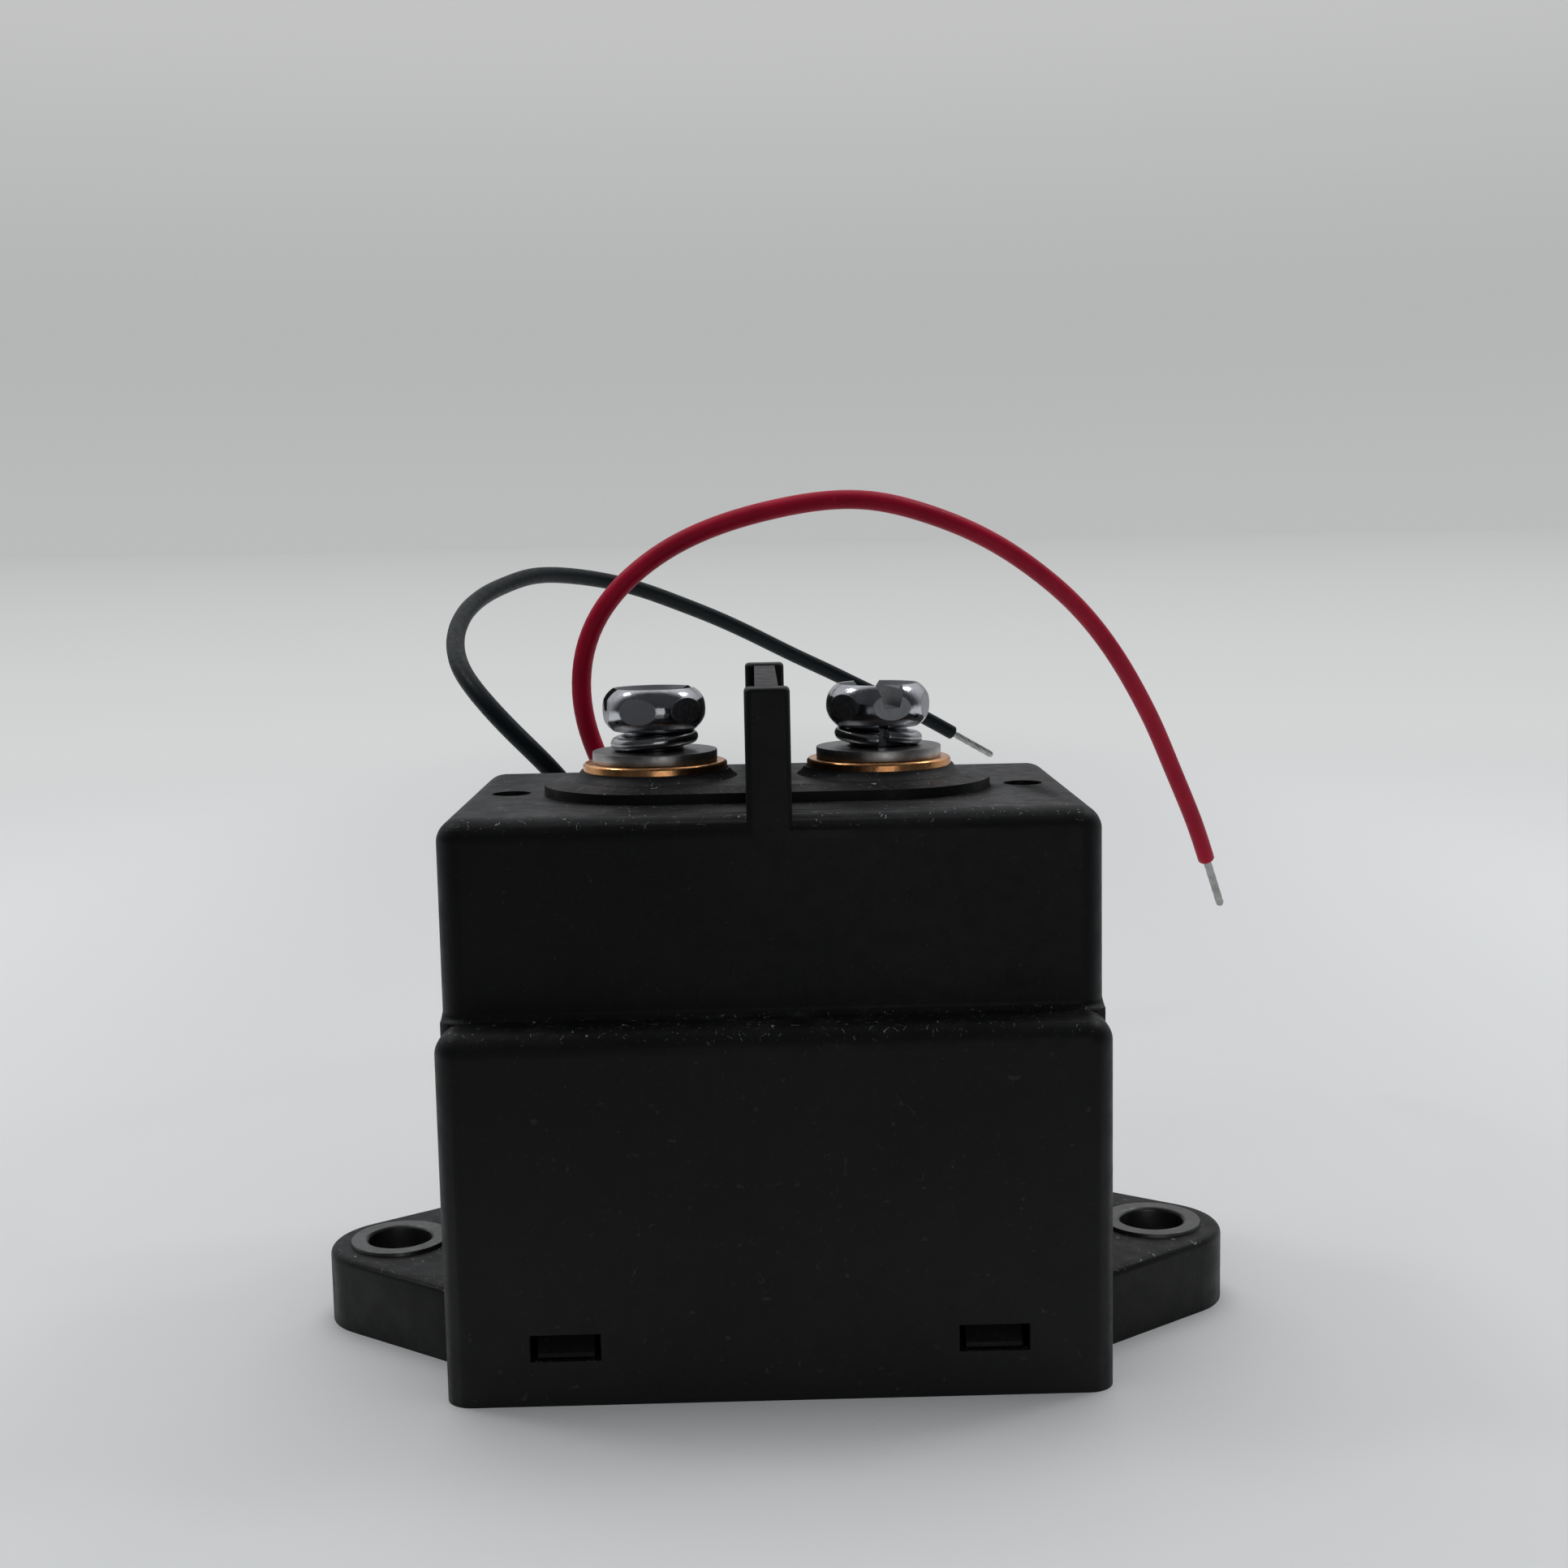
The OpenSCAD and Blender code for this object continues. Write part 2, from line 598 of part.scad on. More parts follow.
module housing() color([0.09, 0.09, 0.1]) difference() {
    union() {
        soft_block(base_w, base_d, ledge_h, corner_r, ledge_round);
        soft_block(upper_w, upper_d, body_h, corner_r, top_round);
        ledge_fillets();
        top_pad();
        barrier();
        for (s = [0, 1]) mirror([s, 0, 0]) ear();
    }
    translate([0, 0, -over]) linear_extrude(cavity_base_top + over)
        rounded_outline(cavity_base_w, cavity_base_d, cavity_r);
    difference() {
        linear_extrude(ceiling) rounded_outline(cavity_upper_w, cavity_upper_d, cavity_r);
        for (s = [-1, 1])
            translate([s * cover_hole_pitch / 2, 0, boss_low])
                cylinder(r = cover_hole_d / 2 + boss_wall, h = cover_hole_depth + boss_floor);
    }
    for (s = [-1, 1]) {
        translate([s * cover_hole_pitch / 2, 0, body_h - cover_hole_depth])
            cylinder(r = cover_hole_d / 2, h = cover_hole_depth + over);
        translate([s * terminal_x, 0, ceiling - over])
            cylinder(r = terminal_hole_r, h = top_wall + pad_rim_h + pad_slope_h + 2 * over);
        translate([s * ear_x, 0, -over]) cylinder(r = bush_od / 2 + seat, h = ear_h + 2 * over);
    }
    windows();
    along_y(gland_x, base_d / 2 - wall - over, lead_z)
        linear_extrude(wall + 2 * over)
            slot_outline(gland_half_pitch, gland_h / 2 - gland_neck_inset + seat);
}

module mounting_bushes() color([0.5, 0.5, 0.52])
    for (s = [-1, 1]) translate([s * ear_x, 0, 0]) difference() {
        cylinder(r = bush_od / 2, h = ear_h + bush_stand);
        translate([0, 0, -over]) cylinder(r = bush_id / 2, h = ear_h + bush_stand + 2 * over);
        translate([0, 0, ear_h + bush_stand - bush_chamfer])
            cylinder(r1 = bush_id / 2, r2 = bush_id / 2 + 2 * bush_chamfer, h = 2 * bush_chamfer);
    }

// Base cover with four snap tongues
module snap_tongue() {
    face = cavity_base_d / 2 - running;
    width = window_w - 2 * hook_side_gap;
    low = window_low + running;
    translate([-width / 2, face - tongue_t, cover_recess])
        cube([width, tongue_t, tongue_top - cover_recess]);
    translate([-width / 2, 0, 0]) rotate([90, 0, 90]) linear_extrude(width)
        polygon([
            [face - tongue_t / 2, low], [face + hook_reach, low], [face + hook_reach, low + hook_flat],
            [face, window_low + window_h - hook_top_gap],
            [face - tongue_t / 2, window_low + window_h - hook_top_gap]
        ]);
}

module base_cover() color([0.1, 0.1, 0.11]) {
    translate([0, 0, cover_recess]) linear_extrude(cover_t)
        rounded_outline(cavity_base_w - 2 * running, cavity_base_d - 2 * running, cavity_r - running);
    for (s = [0, 1], t = [-1, 1]) mirror([0, s, 0]) translate([t * cover_x, 0, 0]) snap_tongue();
}

module top_gasket() color([0.75, 0.75, 0.72])
    translate([0, 0, chamber_top]) linear_extrude(gasket_t) difference() {
        slot_outline(terminal_x, terminal_d / 2 + gasket_land);
        for (s = [-1, 1]) translate([s * terminal_x, 0]) circle(r = gasket_bore_r);
    }

// Terminals and what is bolted to them
module terminal(side) color([0.78, 0.5, 0.3]) translate([side * terminal_x, 0, 0]) difference() {
    union() {
        translate([0, 0, contact_face]) cylinder(r = terminal_stem_d / 2, h = chamber_top - contact_face);
        translate([0, 0, chamber_top])
            cylinder(r = terminal_d / 2, h = terminal_top - chamber_top - terminal_edge);
        translate([0, 0, terminal_top - terminal_edge])
            cylinder(r1 = terminal_d / 2, r2 = terminal_d / 2 - terminal_edge, h = terminal_edge);
    }
    translate([0, 0, head_low - bolt_len - bolt_bore_below])
        cylinder(r = bolt_bore_r, h = bolt_len + bolt_bore_below);
}

module left_terminal() terminal(-1);
module right_terminal() terminal(1);

module flat_washers() color([0.6, 0.6, 0.62])
    for (s = [-1, 1]) translate([s * terminal_x, 0, 0])
        tube(flat_washer_od / 2, washer_hole_r, terminal_top, flat_washer_top);

module spring_washer(side, split) translate([side * terminal_x, 0, 0])
    sweep(
        leaning_ring(
            (spring_washer_od - spring_washer_t) / 2,
            flat_washer_top + spring_washer_t / 2, head_low - spring_washer_t / 2,
            split, split_angle, washer_steps
        ),
        spring_washer_t / 2, washer_sides
    );

module spring_washers() color([0.55, 0.55, 0.57]) {
    spring_washer(-1, left_split_turn);
    spring_washer(1, right_split_turn);
}

module bolt_head() {
    difference() {
        intersection() {
            rotate(30) cylinder(r = bolt_af / 2 / cos(30), h = bolt_head_h, $fn = 6);
            rotate_extrude() intersection() {
                square([head_rim_r, bolt_head_h]);
                union() {
                    square([head_rim_r - head_profile_r, bolt_head_h]);
                    translate([head_rim_r - head_profile_r, bolt_head_h / 2]) circle(r = head_profile_r);
                }
            }
        }
        translate([0, 0, bolt_head_h - dish_depth])
            cylinder(r1 = head_rim_r - 3 * dish_rim, r2 = head_rim_r - dish_rim, h = 2 * dish_depth);
        translate([-bolt_af, 0, bolt_head_h]) rotate([90, 0, 90]) linear_extrude(2 * bolt_af)
            polygon([
                [-slot_floor_w / 2, -slot_depth], [slot_floor_w / 2, -slot_depth],
                [slot_mouth_w / 2, 0], [slot_mouth_w / 2, over],
                [-slot_mouth_w / 2, over], [-slot_mouth_w / 2, 0]
            ]);
    }
}

module terminal_bolt(side, turn) color([0.7, 0.7, 0.72])
    translate([side * terminal_x, 0, head_low]) rotate(turn) {
        bolt_head();
        translate([0, 0, -bolt_len]) cylinder(r = bolt_d / 2, h = bolt_len + bolt_head_h / 4);
    }

module left_terminal_bolt() terminal_bolt(-1, left_bolt_turn);
module right_terminal_bolt() terminal_bolt(1, right_bolt_turn);

module tips(low) color([0.8, 0.8, 0.82])
    for (s = [-1, 1]) translate([s * terminal_x, 0, low]) cylinder(r = tip_d / 2, h = tip_t);

module fixed_contact_tips() tips(fixed_tip_low);
module moving_contact_tips() tips(bridge_top);

// Sealed chamber on the pole plate
module ceramic_chamber() color([0.92, 0.91, 0.88]) difference() {
    translate([0, 0, chamber_low]) linear_extrude(chamber_top - chamber_low)
        rounded_outline(chamber_w, chamber_d, chamber_r);
    translate([0, 0, chamber_low - over]) linear_extrude(chamber_top - chamber_roof - chamber_low + over)
        rounded_outline(
            chamber_w - 2 * chamber_wall, chamber_d - 2 * chamber_wall, chamber_r - chamber_wall
        );
    for (s = [-1, 1]) translate([s * terminal_x, 0, chamber_low])
        cylinder(r = terminal_stem_d / 2 + seat, h = chamber_top - chamber_low + over);
}

module chamber_skirt() color([0.6, 0.6, 0.6]) translate([0, 0, pole_plate_top]) difference() {
    union() {
        linear_extrude(skirt_h) rounded_outline(skirt_w, skirt_d, chamber_r - skirt_inset);
        linear_extrude(skirt_foot_t)
            rounded_outline(
                skirt_w + 2 * skirt_foot, skirt_d + 2 * skirt_foot, chamber_r - skirt_inset + skirt_foot
            );
    }
    translate([0, 0, -over]) linear_extrude(skirt_h + 2 * over)
        rounded_outline(skirt_w - 2 * skirt_t, skirt_d - 2 * skirt_t, chamber_r - skirt_inset - skirt_t);
}

module chamber_floor() color([0.85, 0.8, 0.7]) translate([0, 0, pole_plate_top]) difference() {
    linear_extrude(floor_t)
        rounded_outline(
            skirt_w - 2 * skirt_t - floor_gap, skirt_d - 2 * skirt_t - floor_gap, chamber_r - skirt_inset
        );
    translate([0, 0, -over]) cylinder(r = core_neck_d / 2 + running, h = floor_t + 2 * over);
}

module magnet(side) color([0.35, 0.35, 0.37])
    translate([-magnet_w / 2, side * (magnet_y + magnet_t / 2) - magnet_t / 2, magnet_low])
        cube([magnet_w, magnet_t, magnet_h]);

module front_magnet() magnet(-1);
module rear_magnet() magnet(1);

module magnet_strap() color([0.5, 0.5, 0.5])
    translate([0, 0, magnet_low - strap_margin]) linear_extrude(magnet_h + 2 * strap_margin) difference() {
        rounded_outline(strap_in_w + 2 * strap_t, strap_in_d + 2 * strap_t, strap_r + strap_t);
        rounded_outline(strap_in_w, strap_in_d, strap_r);
    }

// Moving contact and its shaft
module contact_bridge() color([0.75, 0.45, 0.3]) difference() {
    translate([0, 0, bridge_low]) linear_extrude(bridge_t)
        slot_outline((bridge_len - bridge_w) / 2, bridge_w / 2);
    translate([0, 0, bridge_low - over]) cylinder(r = shaft_bore_r, h = bridge_t + 2 * over);
}

module contact_spring() color([0.7, 0.7, 0.7])
    sweep(
        helix(
            contact_spring_r, collar_top + contact_wire / 2, bridge_low - contact_wire / 2,
            0, 360 * contact_turns, turn_steps * contact_turns
        ),
        contact_wire / 2, spring_sides
    );

module shaft() color([0.75, 0.75, 0.77]) difference() {
    translate([0, 0, shaft_low]) cylinder(r = shaft_d / 2, h = shaft_top - shaft_low);
    tube(shaft_d / 2 + over, shaft_d / 2 - clip_groove, bridge_top, bridge_top + clip_t);
}

module shaft_clip() color([0.4, 0.4, 0.42]) difference() {
    tube(
        shaft_d / 2 + clip_w, shaft_d / 2 - clip_groove + seat,
        bridge_top + seat, bridge_top + clip_t - seat
    );
    translate([-clip_mouth / 2, 0, bridge_top])
        cube([clip_mouth, shaft_d + clip_w, clip_t]);
}

module spring_collar() color([0.85, 0.8, 0.65])
    tube(collar_d / 2, shaft_d / 2 + seat, collar_low, collar_top);

module plunger() color([0.6, 0.6, 0.62]) difference() {
    translate([0, 0, plunger_low]) cylinder(r = core_r, h = plunger_top - plunger_low);
    translate([0, 0, plunger_low - over])
        cylinder(r = shaft_d / 2 + seat, h = plunger_top - plunger_low + 2 * over);
    translate([0, 0, plunger_top - plunger_pocket]) cylinder(r = spring_pocket_r, h = plunger_pocket + over);
}

module return_spring() color([0.7, 0.7, 0.7])
    sweep(
        helix(
            return_spring_r, plunger_top - plunger_pocket + return_wire / 2,
            fixed_core_low + core_pocket - return_wire / 2,
            0, 360 * return_turns, turn_steps * return_turns
        ),
        return_wire / 2, spring_sides
    );

// Magnet system
module fixed_core() color([0.6, 0.6, 0.62]) difference() {
    union() {
        translate([0, 0, fixed_core_low]) cylinder(r = core_r, h = fixed_core_h);
        translate([0, 0, fixed_core_low]) cylinder(r = core_neck_d / 2, h = neck_top - fixed_core_low);
    }
    translate([0, 0, fixed_core_low - over])
        cylinder(r = shaft_bore_r, h = neck_top - fixed_core_low + 2 * over);
    translate([0, 0, fixed_core_low - over]) cylinder(r = spring_pocket_r, h = core_pocket + over);
}

module pole_plate() color([0.55, 0.55, 0.58]) translate([0, 0, pole_plate_low]) difference() {
    linear_extrude(iron_t) rounded_outline(frame_w, pole_plate_d, chamber_r);
    translate([0, 0, -over]) cylinder(r = core_neck_d / 2 + seat, h = iron_t + 2 * over);
}

module guide_cup() color([0.7, 0.7, 0.7]) translate([0, 0, cup_low]) rotate_extrude() {
    square([cup_od / 2, cup_wall]);
    translate([cup_in_r, 0]) square([cup_wall, pole_plate_low - cup_low]);
    translate([cup_in_r, pole_plate_low - cup_low - cup_wall]) square([cup_wall + cup_rim, cup_wall]);
}

module stop_pad() color([0.2, 0.2, 0.2])
    translate([0, 0, cup_floor]) cylinder(r = core_r - stop_inset, h = stop_t);

module iron_frame() color([0.55, 0.55, 0.58]) difference() {
    translate([0, 0, frame_low]) rotate([90, 0, 0]) linear_extrude(frame_d, center = true) {
        translate([frame_bend_r - frame_w / 2, 0]) square([frame_w - 2 * frame_bend_r, iron_t]);
        for (s = [0, 1]) mirror([s, 0]) {
            translate([frame_w / 2 - iron_t, frame_bend_r])
                square([iron_t, pole_plate_low - frame_low - frame_bend_r]);
            translate([frame_w / 2 - frame_bend_r, frame_bend_r]) intersection() {
                difference() {
                    circle(r = frame_bend_r);
                    circle(r = frame_bend_r - iron_t);
                }
                translate([0, -frame_bend_r]) square(frame_bend_r);
            }
        }
    }
    translate([0, 0, frame_low - over]) cylinder(r = cup_od / 2 + running, h = iron_t + 2 * over);
}

module damping_pad() color([0.15, 0.15, 0.15])
    translate([0, 0, cover_top]) linear_extrude(damper_t)
        rounded_outline(frame_w - 2 * frame_bend_r, frame_d - damper_margin, damper_margin);

module bobbin() color([0.85, 0.83, 0.75]) difference() {
    union() {
        translate([0, 0, bobbin_low]) cylinder(r = barrel_r, h = bobbin_top - bobbin_low);
        for (low = [bobbin_low, bobbin_top - bobbin_t])
            translate([0, 0, low]) linear_extrude(bobbin_t) rounded_outline(bobbin_w, bobbin_d, bobbin_corner);
        translate([gland_x - pin_block_w / 2, bobbin_d / 2 - pin_block_in, pin_block_low])
            cube([pin_block_w, pin_block_back + pin_block_in, pin_block_h]);
    }
    translate([0, 0, bobbin_low - over]) cylinder(r = barrel_in_r, h = bobbin_top - bobbin_low + 2 * over);
    for (x = [red_x, black_x])
        translate([x, pin_y, bobbin_low]) cylinder(r = pin_d / 2 + seat, h = bobbin_top);
}

module coil_winding() color([0.7, 0.35, 0.2])
    tube(
        winding_od / 2, barrel_r + seat,
        bobbin_low + bobbin_t + winding_gap, bobbin_top - bobbin_t - winding_gap
    );

module coil_tape() color([0.85, 0.75, 0.3])
    tube(
        winding_od / 2 + seat + tape_t, winding_od / 2 + seat,
        bobbin_low + bobbin_t + winding_gap, bobbin_top - bobbin_t - winding_gap
    );

module coil_pins() color([0.75, 0.75, 0.72])
    for (x = [red_x, black_x])
        translate([x, pin_y, lead_z - lead_d / 2 - pin_len]) cylinder(r = pin_d / 2, h = pin_len);

// Leads and the grommet in the rear wall
module lead_grommet() color([0.07, 0.07, 0.07]) difference() {
    union() {
        along_y(gland_x, base_d / 2, lead_z)
            linear_extrude(gland_flange) slot_outline(gland_half_pitch, gland_h / 2);
        along_y(gland_x, base_d / 2 - wall - gland_inner_flange, lead_z)
            linear_extrude(wall + gland_inner_flange)
                slot_outline(gland_half_pitch, gland_h / 2 - gland_neck_inset);
        along_y(gland_x, base_d / 2 - wall - gland_inner_flange, lead_z)
            linear_extrude(gland_inner_flange) slot_outline(gland_half_pitch, gland_h / 2);
    }
    for (x = [red_x, black_x]) along_y(x, base_d / 2 - wall - gland_inner_flange - over, lead_z)
        cylinder(r = lead_d / 2 + seat, h = wall + gland_inner_flange + gland_flange + 2 * over);
}

module inner_lead(x) along_y(x, inner_lead_start, lead_z)
    cylinder(r = lead_d / 2, h = gland_face - inner_lead_start);

module bare_end(p) {
    last = p[len(p) - 1];
    sweep([last, last + bare_len * direction(p, len(p) - 1)], conductor_d / 2, tube_sides);
}

module red_inner_lead() color([0.6, 0.05, 0.15]) inner_lead(red_x);
module black_inner_lead() color([0.08, 0.08, 0.1]) inner_lead(black_x);
module red_lead() color([0.6, 0.05, 0.15]) sweep(red_points, lead_d / 2, tube_sides);
module black_lead() color([0.08, 0.08, 0.1]) sweep(black_points, lead_d / 2, tube_sides);
module red_lead_end() color([0.75, 0.75, 0.75]) bare_end(red_points);
module black_lead_end() color([0.75, 0.75, 0.75]) bare_end(black_points);

housing();
base_cover();
mounting_bushes();
top_gasket();
left_terminal();
right_terminal();
flat_washers();
spring_washers();
left_terminal_bolt();
right_terminal_bolt();
fixed_contact_tips();
ceramic_chamber();
chamber_skirt();
chamber_floor();
front_magnet();
rear_magnet();
magnet_strap();
contact_bridge();
moving_contact_tips();
contact_spring();
shaft();
shaft_clip();
spring_collar();
plunger();
return_spring();
fixed_core();
pole_plate();
guide_cup();
stop_pad();
iron_frame();
damping_pad();
bobbin();
coil_winding();
coil_tape();
coil_pins();
lead_grommet();
red_inner_lead();
black_inner_lead();
red_lead();
black_lead();
red_lead_end();
black_lead_end();
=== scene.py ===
"""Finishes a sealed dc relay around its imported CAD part: leads, washers, surface finishes and stage."""

import math

import bpy
import numpy as np
from bpy.props import FloatProperty, FloatVectorProperty, IntProperty, PointerProperty
from mathutils import Matrix, Vector


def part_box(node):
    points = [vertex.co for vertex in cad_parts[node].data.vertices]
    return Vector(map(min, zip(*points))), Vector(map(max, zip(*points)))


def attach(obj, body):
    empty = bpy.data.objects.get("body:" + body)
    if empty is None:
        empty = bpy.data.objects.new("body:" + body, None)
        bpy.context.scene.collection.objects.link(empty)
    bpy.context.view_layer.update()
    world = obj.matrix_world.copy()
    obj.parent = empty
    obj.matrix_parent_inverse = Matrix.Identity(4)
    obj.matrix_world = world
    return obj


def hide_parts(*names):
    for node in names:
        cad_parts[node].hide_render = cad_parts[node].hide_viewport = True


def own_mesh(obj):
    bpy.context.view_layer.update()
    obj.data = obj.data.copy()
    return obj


bl_info = {
    "name": "Sealed DC Relay",
    "version": (1, 0, 0),
    "blender": (4, 5, 0),
    "location": "3D View > Sidebar > Relay",
    "description": "Finishes a sealed dc relay with bolted terminals and flying coil leads",
    "category": "Add Mesh",
}

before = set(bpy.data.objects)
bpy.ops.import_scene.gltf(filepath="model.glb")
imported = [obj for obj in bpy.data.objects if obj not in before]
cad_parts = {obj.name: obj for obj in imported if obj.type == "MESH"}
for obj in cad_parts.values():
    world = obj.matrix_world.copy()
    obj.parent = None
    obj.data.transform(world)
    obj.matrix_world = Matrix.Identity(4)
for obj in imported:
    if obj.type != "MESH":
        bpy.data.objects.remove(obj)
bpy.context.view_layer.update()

MM = 0.001

# How far the armature rises, and how far of that is left once the contacts have met
ARMATURE_TRAVEL = 0.0026
OVERTRAVEL = 0.0008

# Turns of the left and the right bolt head, and of the splits in their spring washers, in degrees
HEAD_TURNS = (13.6, -76.8)
SPLIT_TURNS = (90, -86)

# Dish and slot of a bolt head
DISH_RADIUS = 0.0042
SLOT_DEPTH = 0.0022
SLOT_MOUTH = 0.0028
SLOT_FLOOR = 0.0016

# The photograph's camera, as solved from the housing's edges, with its angles in radians
CAMERA_PLACE = (-0.001118, -0.20548, 0.080535)
CAMERA_YAW = -0.013736
CAMERA_PITCH = 0.121771
CAMERA_ROLL = 0.019888

# Colours of the distant backdrop, of the floor's own glow near the relay, and of the dark in front
BACKDROP = (0.492, 0.500, 0.498)
NEAR_GLOW = (0.735, 0.742, 0.745)
FRONT_DARK = (0.022, 0.024, 0.028)

# Routes of the two free leads in millimetres, from the grommet's face to the end of the insulation
RED_ROUTE = [
    [-14, 26.2, 28], [-14, 28.2, 28],
    [-14, 31.5, 30], [-14.5, 34, 35.5], [-15.5, 34, 42], [-17, 33.5, 48], [-19.5, 32.5, 54],
    [-21.5, 31.5, 60], [-21.5, 31, 66.5], [-19.5, 31, 72], [-15.5, 31.5, 76.5], [-10.5, 32.5, 80],
    [-4.5, 33.5, 82.5], [1.5, 34.5, 84], [7.5, 36.5, 85], [13.5, 38, 85], [19.5, 40.5, 83.5],
    [25, 42.5, 81.5], [30, 45, 79], [34.5, 47.5, 76], [39, 50.5, 72.5], [43, 53.5, 68.5],
    [46.5, 56, 64], [49.5, 59, 59.5], [52.5, 62, 54.5], [55, 65, 49.5], [57.5, 67.5, 44.5],
    [60, 70.5, 39.5], [62, 73, 34.5],
]
BLACK_ROUTE = [
    [-18, 26.2, 28], [-18, 28.2, 28],
    [-18, 31.5, 30], [-18.5, 34, 35.5], [-19.5, 34, 42], [-21.5, 33, 48], [-25, 31.5, 53.5],
    [-29.5, 31.5, 58], [-33.5, 34, 62], [-36.5, 38.5, 65], [-38, 44, 67], [-39, 50.5, 69],
    [-39, 56.5, 71], [-38.5, 62.5, 72.5], [-37, 68.5, 74], [-35, 74.5, 75], [-32.5, 80, 76],
    [-29.5, 85.5, 76], [-26, 90.5, 75.5], [-21.5, 95.5, 74.5], [-17, 99.5, 73], [-12.5, 103.5, 71],
    [-8, 107.5, 69], [-3, 111, 66.5], [1.5, 114.5, 64], [6, 117.5, 61.5], [11, 120.5, 59],
    [16.5, 123, 56], [21.5, 125.5, 53.5], [27, 128, 50.5], [32, 130, 47.5],
]


# Sizes and colours that a user may change


class LeadSettings(bpy.types.PropertyGroup):
    """Sizes and colours of the two coil leads"""

    diameter: FloatProperty(
        name="Lead diameter", description="Diameter over the insulation", default=0.0023, unit="LENGTH"
    )
    conductor: FloatProperty(
        name="Conductor diameter", description="Diameter of the tinned strands", default=0.0011, unit="LENGTH"
    )
    bare_length: FloatProperty(
        name="Bare length", description="Length of each bare end", default=0.0085, unit="LENGTH"
    )
    strands: IntProperty(
        name="Strands", description="Number of strands seen around a bare end", default=7, min=3, max=19
    )
    red: FloatVectorProperty(
        name="Red insulation", description="Colour of the red lead", subtype="COLOR",
        default=(0.42, 0.0035, 0.030)
    )
    black: FloatVectorProperty(
        name="Black insulation", description="Colour of the black lead", subtype="COLOR",
        default=(0.0028, 0.0060, 0.0075)
    )


class HousingSettings(bpy.types.PropertyGroup):
    """Colours and wear of the moulded housing"""

    upper: FloatVectorProperty(
        name="Upper body", description="Colour of the smooth upper body", subtype="COLOR",
        default=(0.0038, 0.0041, 0.0049)
    )
    base: FloatVectorProperty(
        name="Base", description="Colour of the base below the ledge", subtype="COLOR",
        default=(0.0068, 0.0070, 0.0075)
    )
    # Below this height the housing takes the lighter base colour
    step_height: FloatProperty(
        name="Finish change", description="Height at which the base's finish starts", default=0.0335,
        unit="LENGTH"
    )
    edge: FloatProperty(
        name="Edge softness", description="Radius left on the moulded edges", default=0.00012, unit="LENGTH"
    )
    lint: FloatProperty(
        name="Lint", description="Amount of fibres and dust on the upward faces", default=0.55,
        subtype="FACTOR", min=0, max=1
    )


class HardwareSettings(bpy.types.PropertyGroup):
    """Sizes and colours of the terminal hardware"""

    steel: FloatVectorProperty(
        name="Plated steel", description="Colour of the bolt heads", subtype="COLOR",
        default=(0.57, 0.58, 0.61)
    )
    copper: FloatVectorProperty(
        name="Copper", description="Colour of the terminals", subtype="COLOR", default=(0.92, 0.47, 0.20)
    )
    edge: FloatProperty(
        name="Edge softness", description="Radius left on the metal edges", default=0.0001, unit="LENGTH"
    )
    ring_wire: FloatProperty(
        name="Washer wire", description="Wire diameter of the spring washers", default=0.0014, unit="LENGTH"
    )
    head_height: FloatProperty(
        name="Head height", description="Height of a bolt head", default=0.00435, unit="LENGTH"
    )
    across_flats: FloatProperty(
        name="Across flats", description="Width of a bolt head across its flats", default=0.010, unit="LENGTH"
    )


class StageSettings(bpy.types.PropertyGroup):
    """Camera, floor and light"""

    lens: FloatProperty(
        name="Lens", description="Focal length on a 36 mm sensor", default=46.08, unit="CAMERA"
    )
    floor: FloatVectorProperty(
        name="Floor", description="Colour of the floor", subtype="COLOR", default=(0.80, 0.81, 0.815)
    )
    overhead: FloatProperty(
        name="Overhead light", description="Power of the large lamp above", default=3.0, unit="POWER"
    )
    card: FloatProperty(
        name="Front card", description="Power of the dim card that the metal mirrors", default=0.038,
        unit="POWER"
    )


# Surfaces from arrays


def add_piece(name, points, faces, finish, smooth=True):
    """One mesh object at the origin from points and faces. Only quads are smooth, so end faces stay flat"""
    mesh = bpy.data.meshes.new(name)
    mesh.from_pydata(points.tolist(), [], faces)
    mesh.polygons.foreach_set("use_smooth", [smooth and len(face) == 4 for face in faces])
    mesh.materials.append(finish)
    mesh.update()
    piece = bpy.data.objects.new(name, mesh)
    bpy.context.scene.collection.objects.link(piece)
    return piece


def grid_faces(rows, columns):
    """Quads between neighbouring rows of a grid whose columns close on themselves"""
    row, column = np.meshgrid(np.arange(rows - 1), np.arange(columns), indexing="ij")
    here = row * columns + column
    beside = row * columns + (column + 1) % columns
    quads = np.stack([here, beside, beside + columns, here + columns], axis=-1)
    return quads.reshape(-1, 4).tolist()


def capped_faces(rows, columns):
    """The same quads with one flat face at each end, turned outwards"""
    last = (rows - 1) * columns
    first_cap = list(range(columns))[::-1]
    last_cap = list(range(last, last + columns))
    return grid_faces(rows, columns) + [first_cap, last_cap]


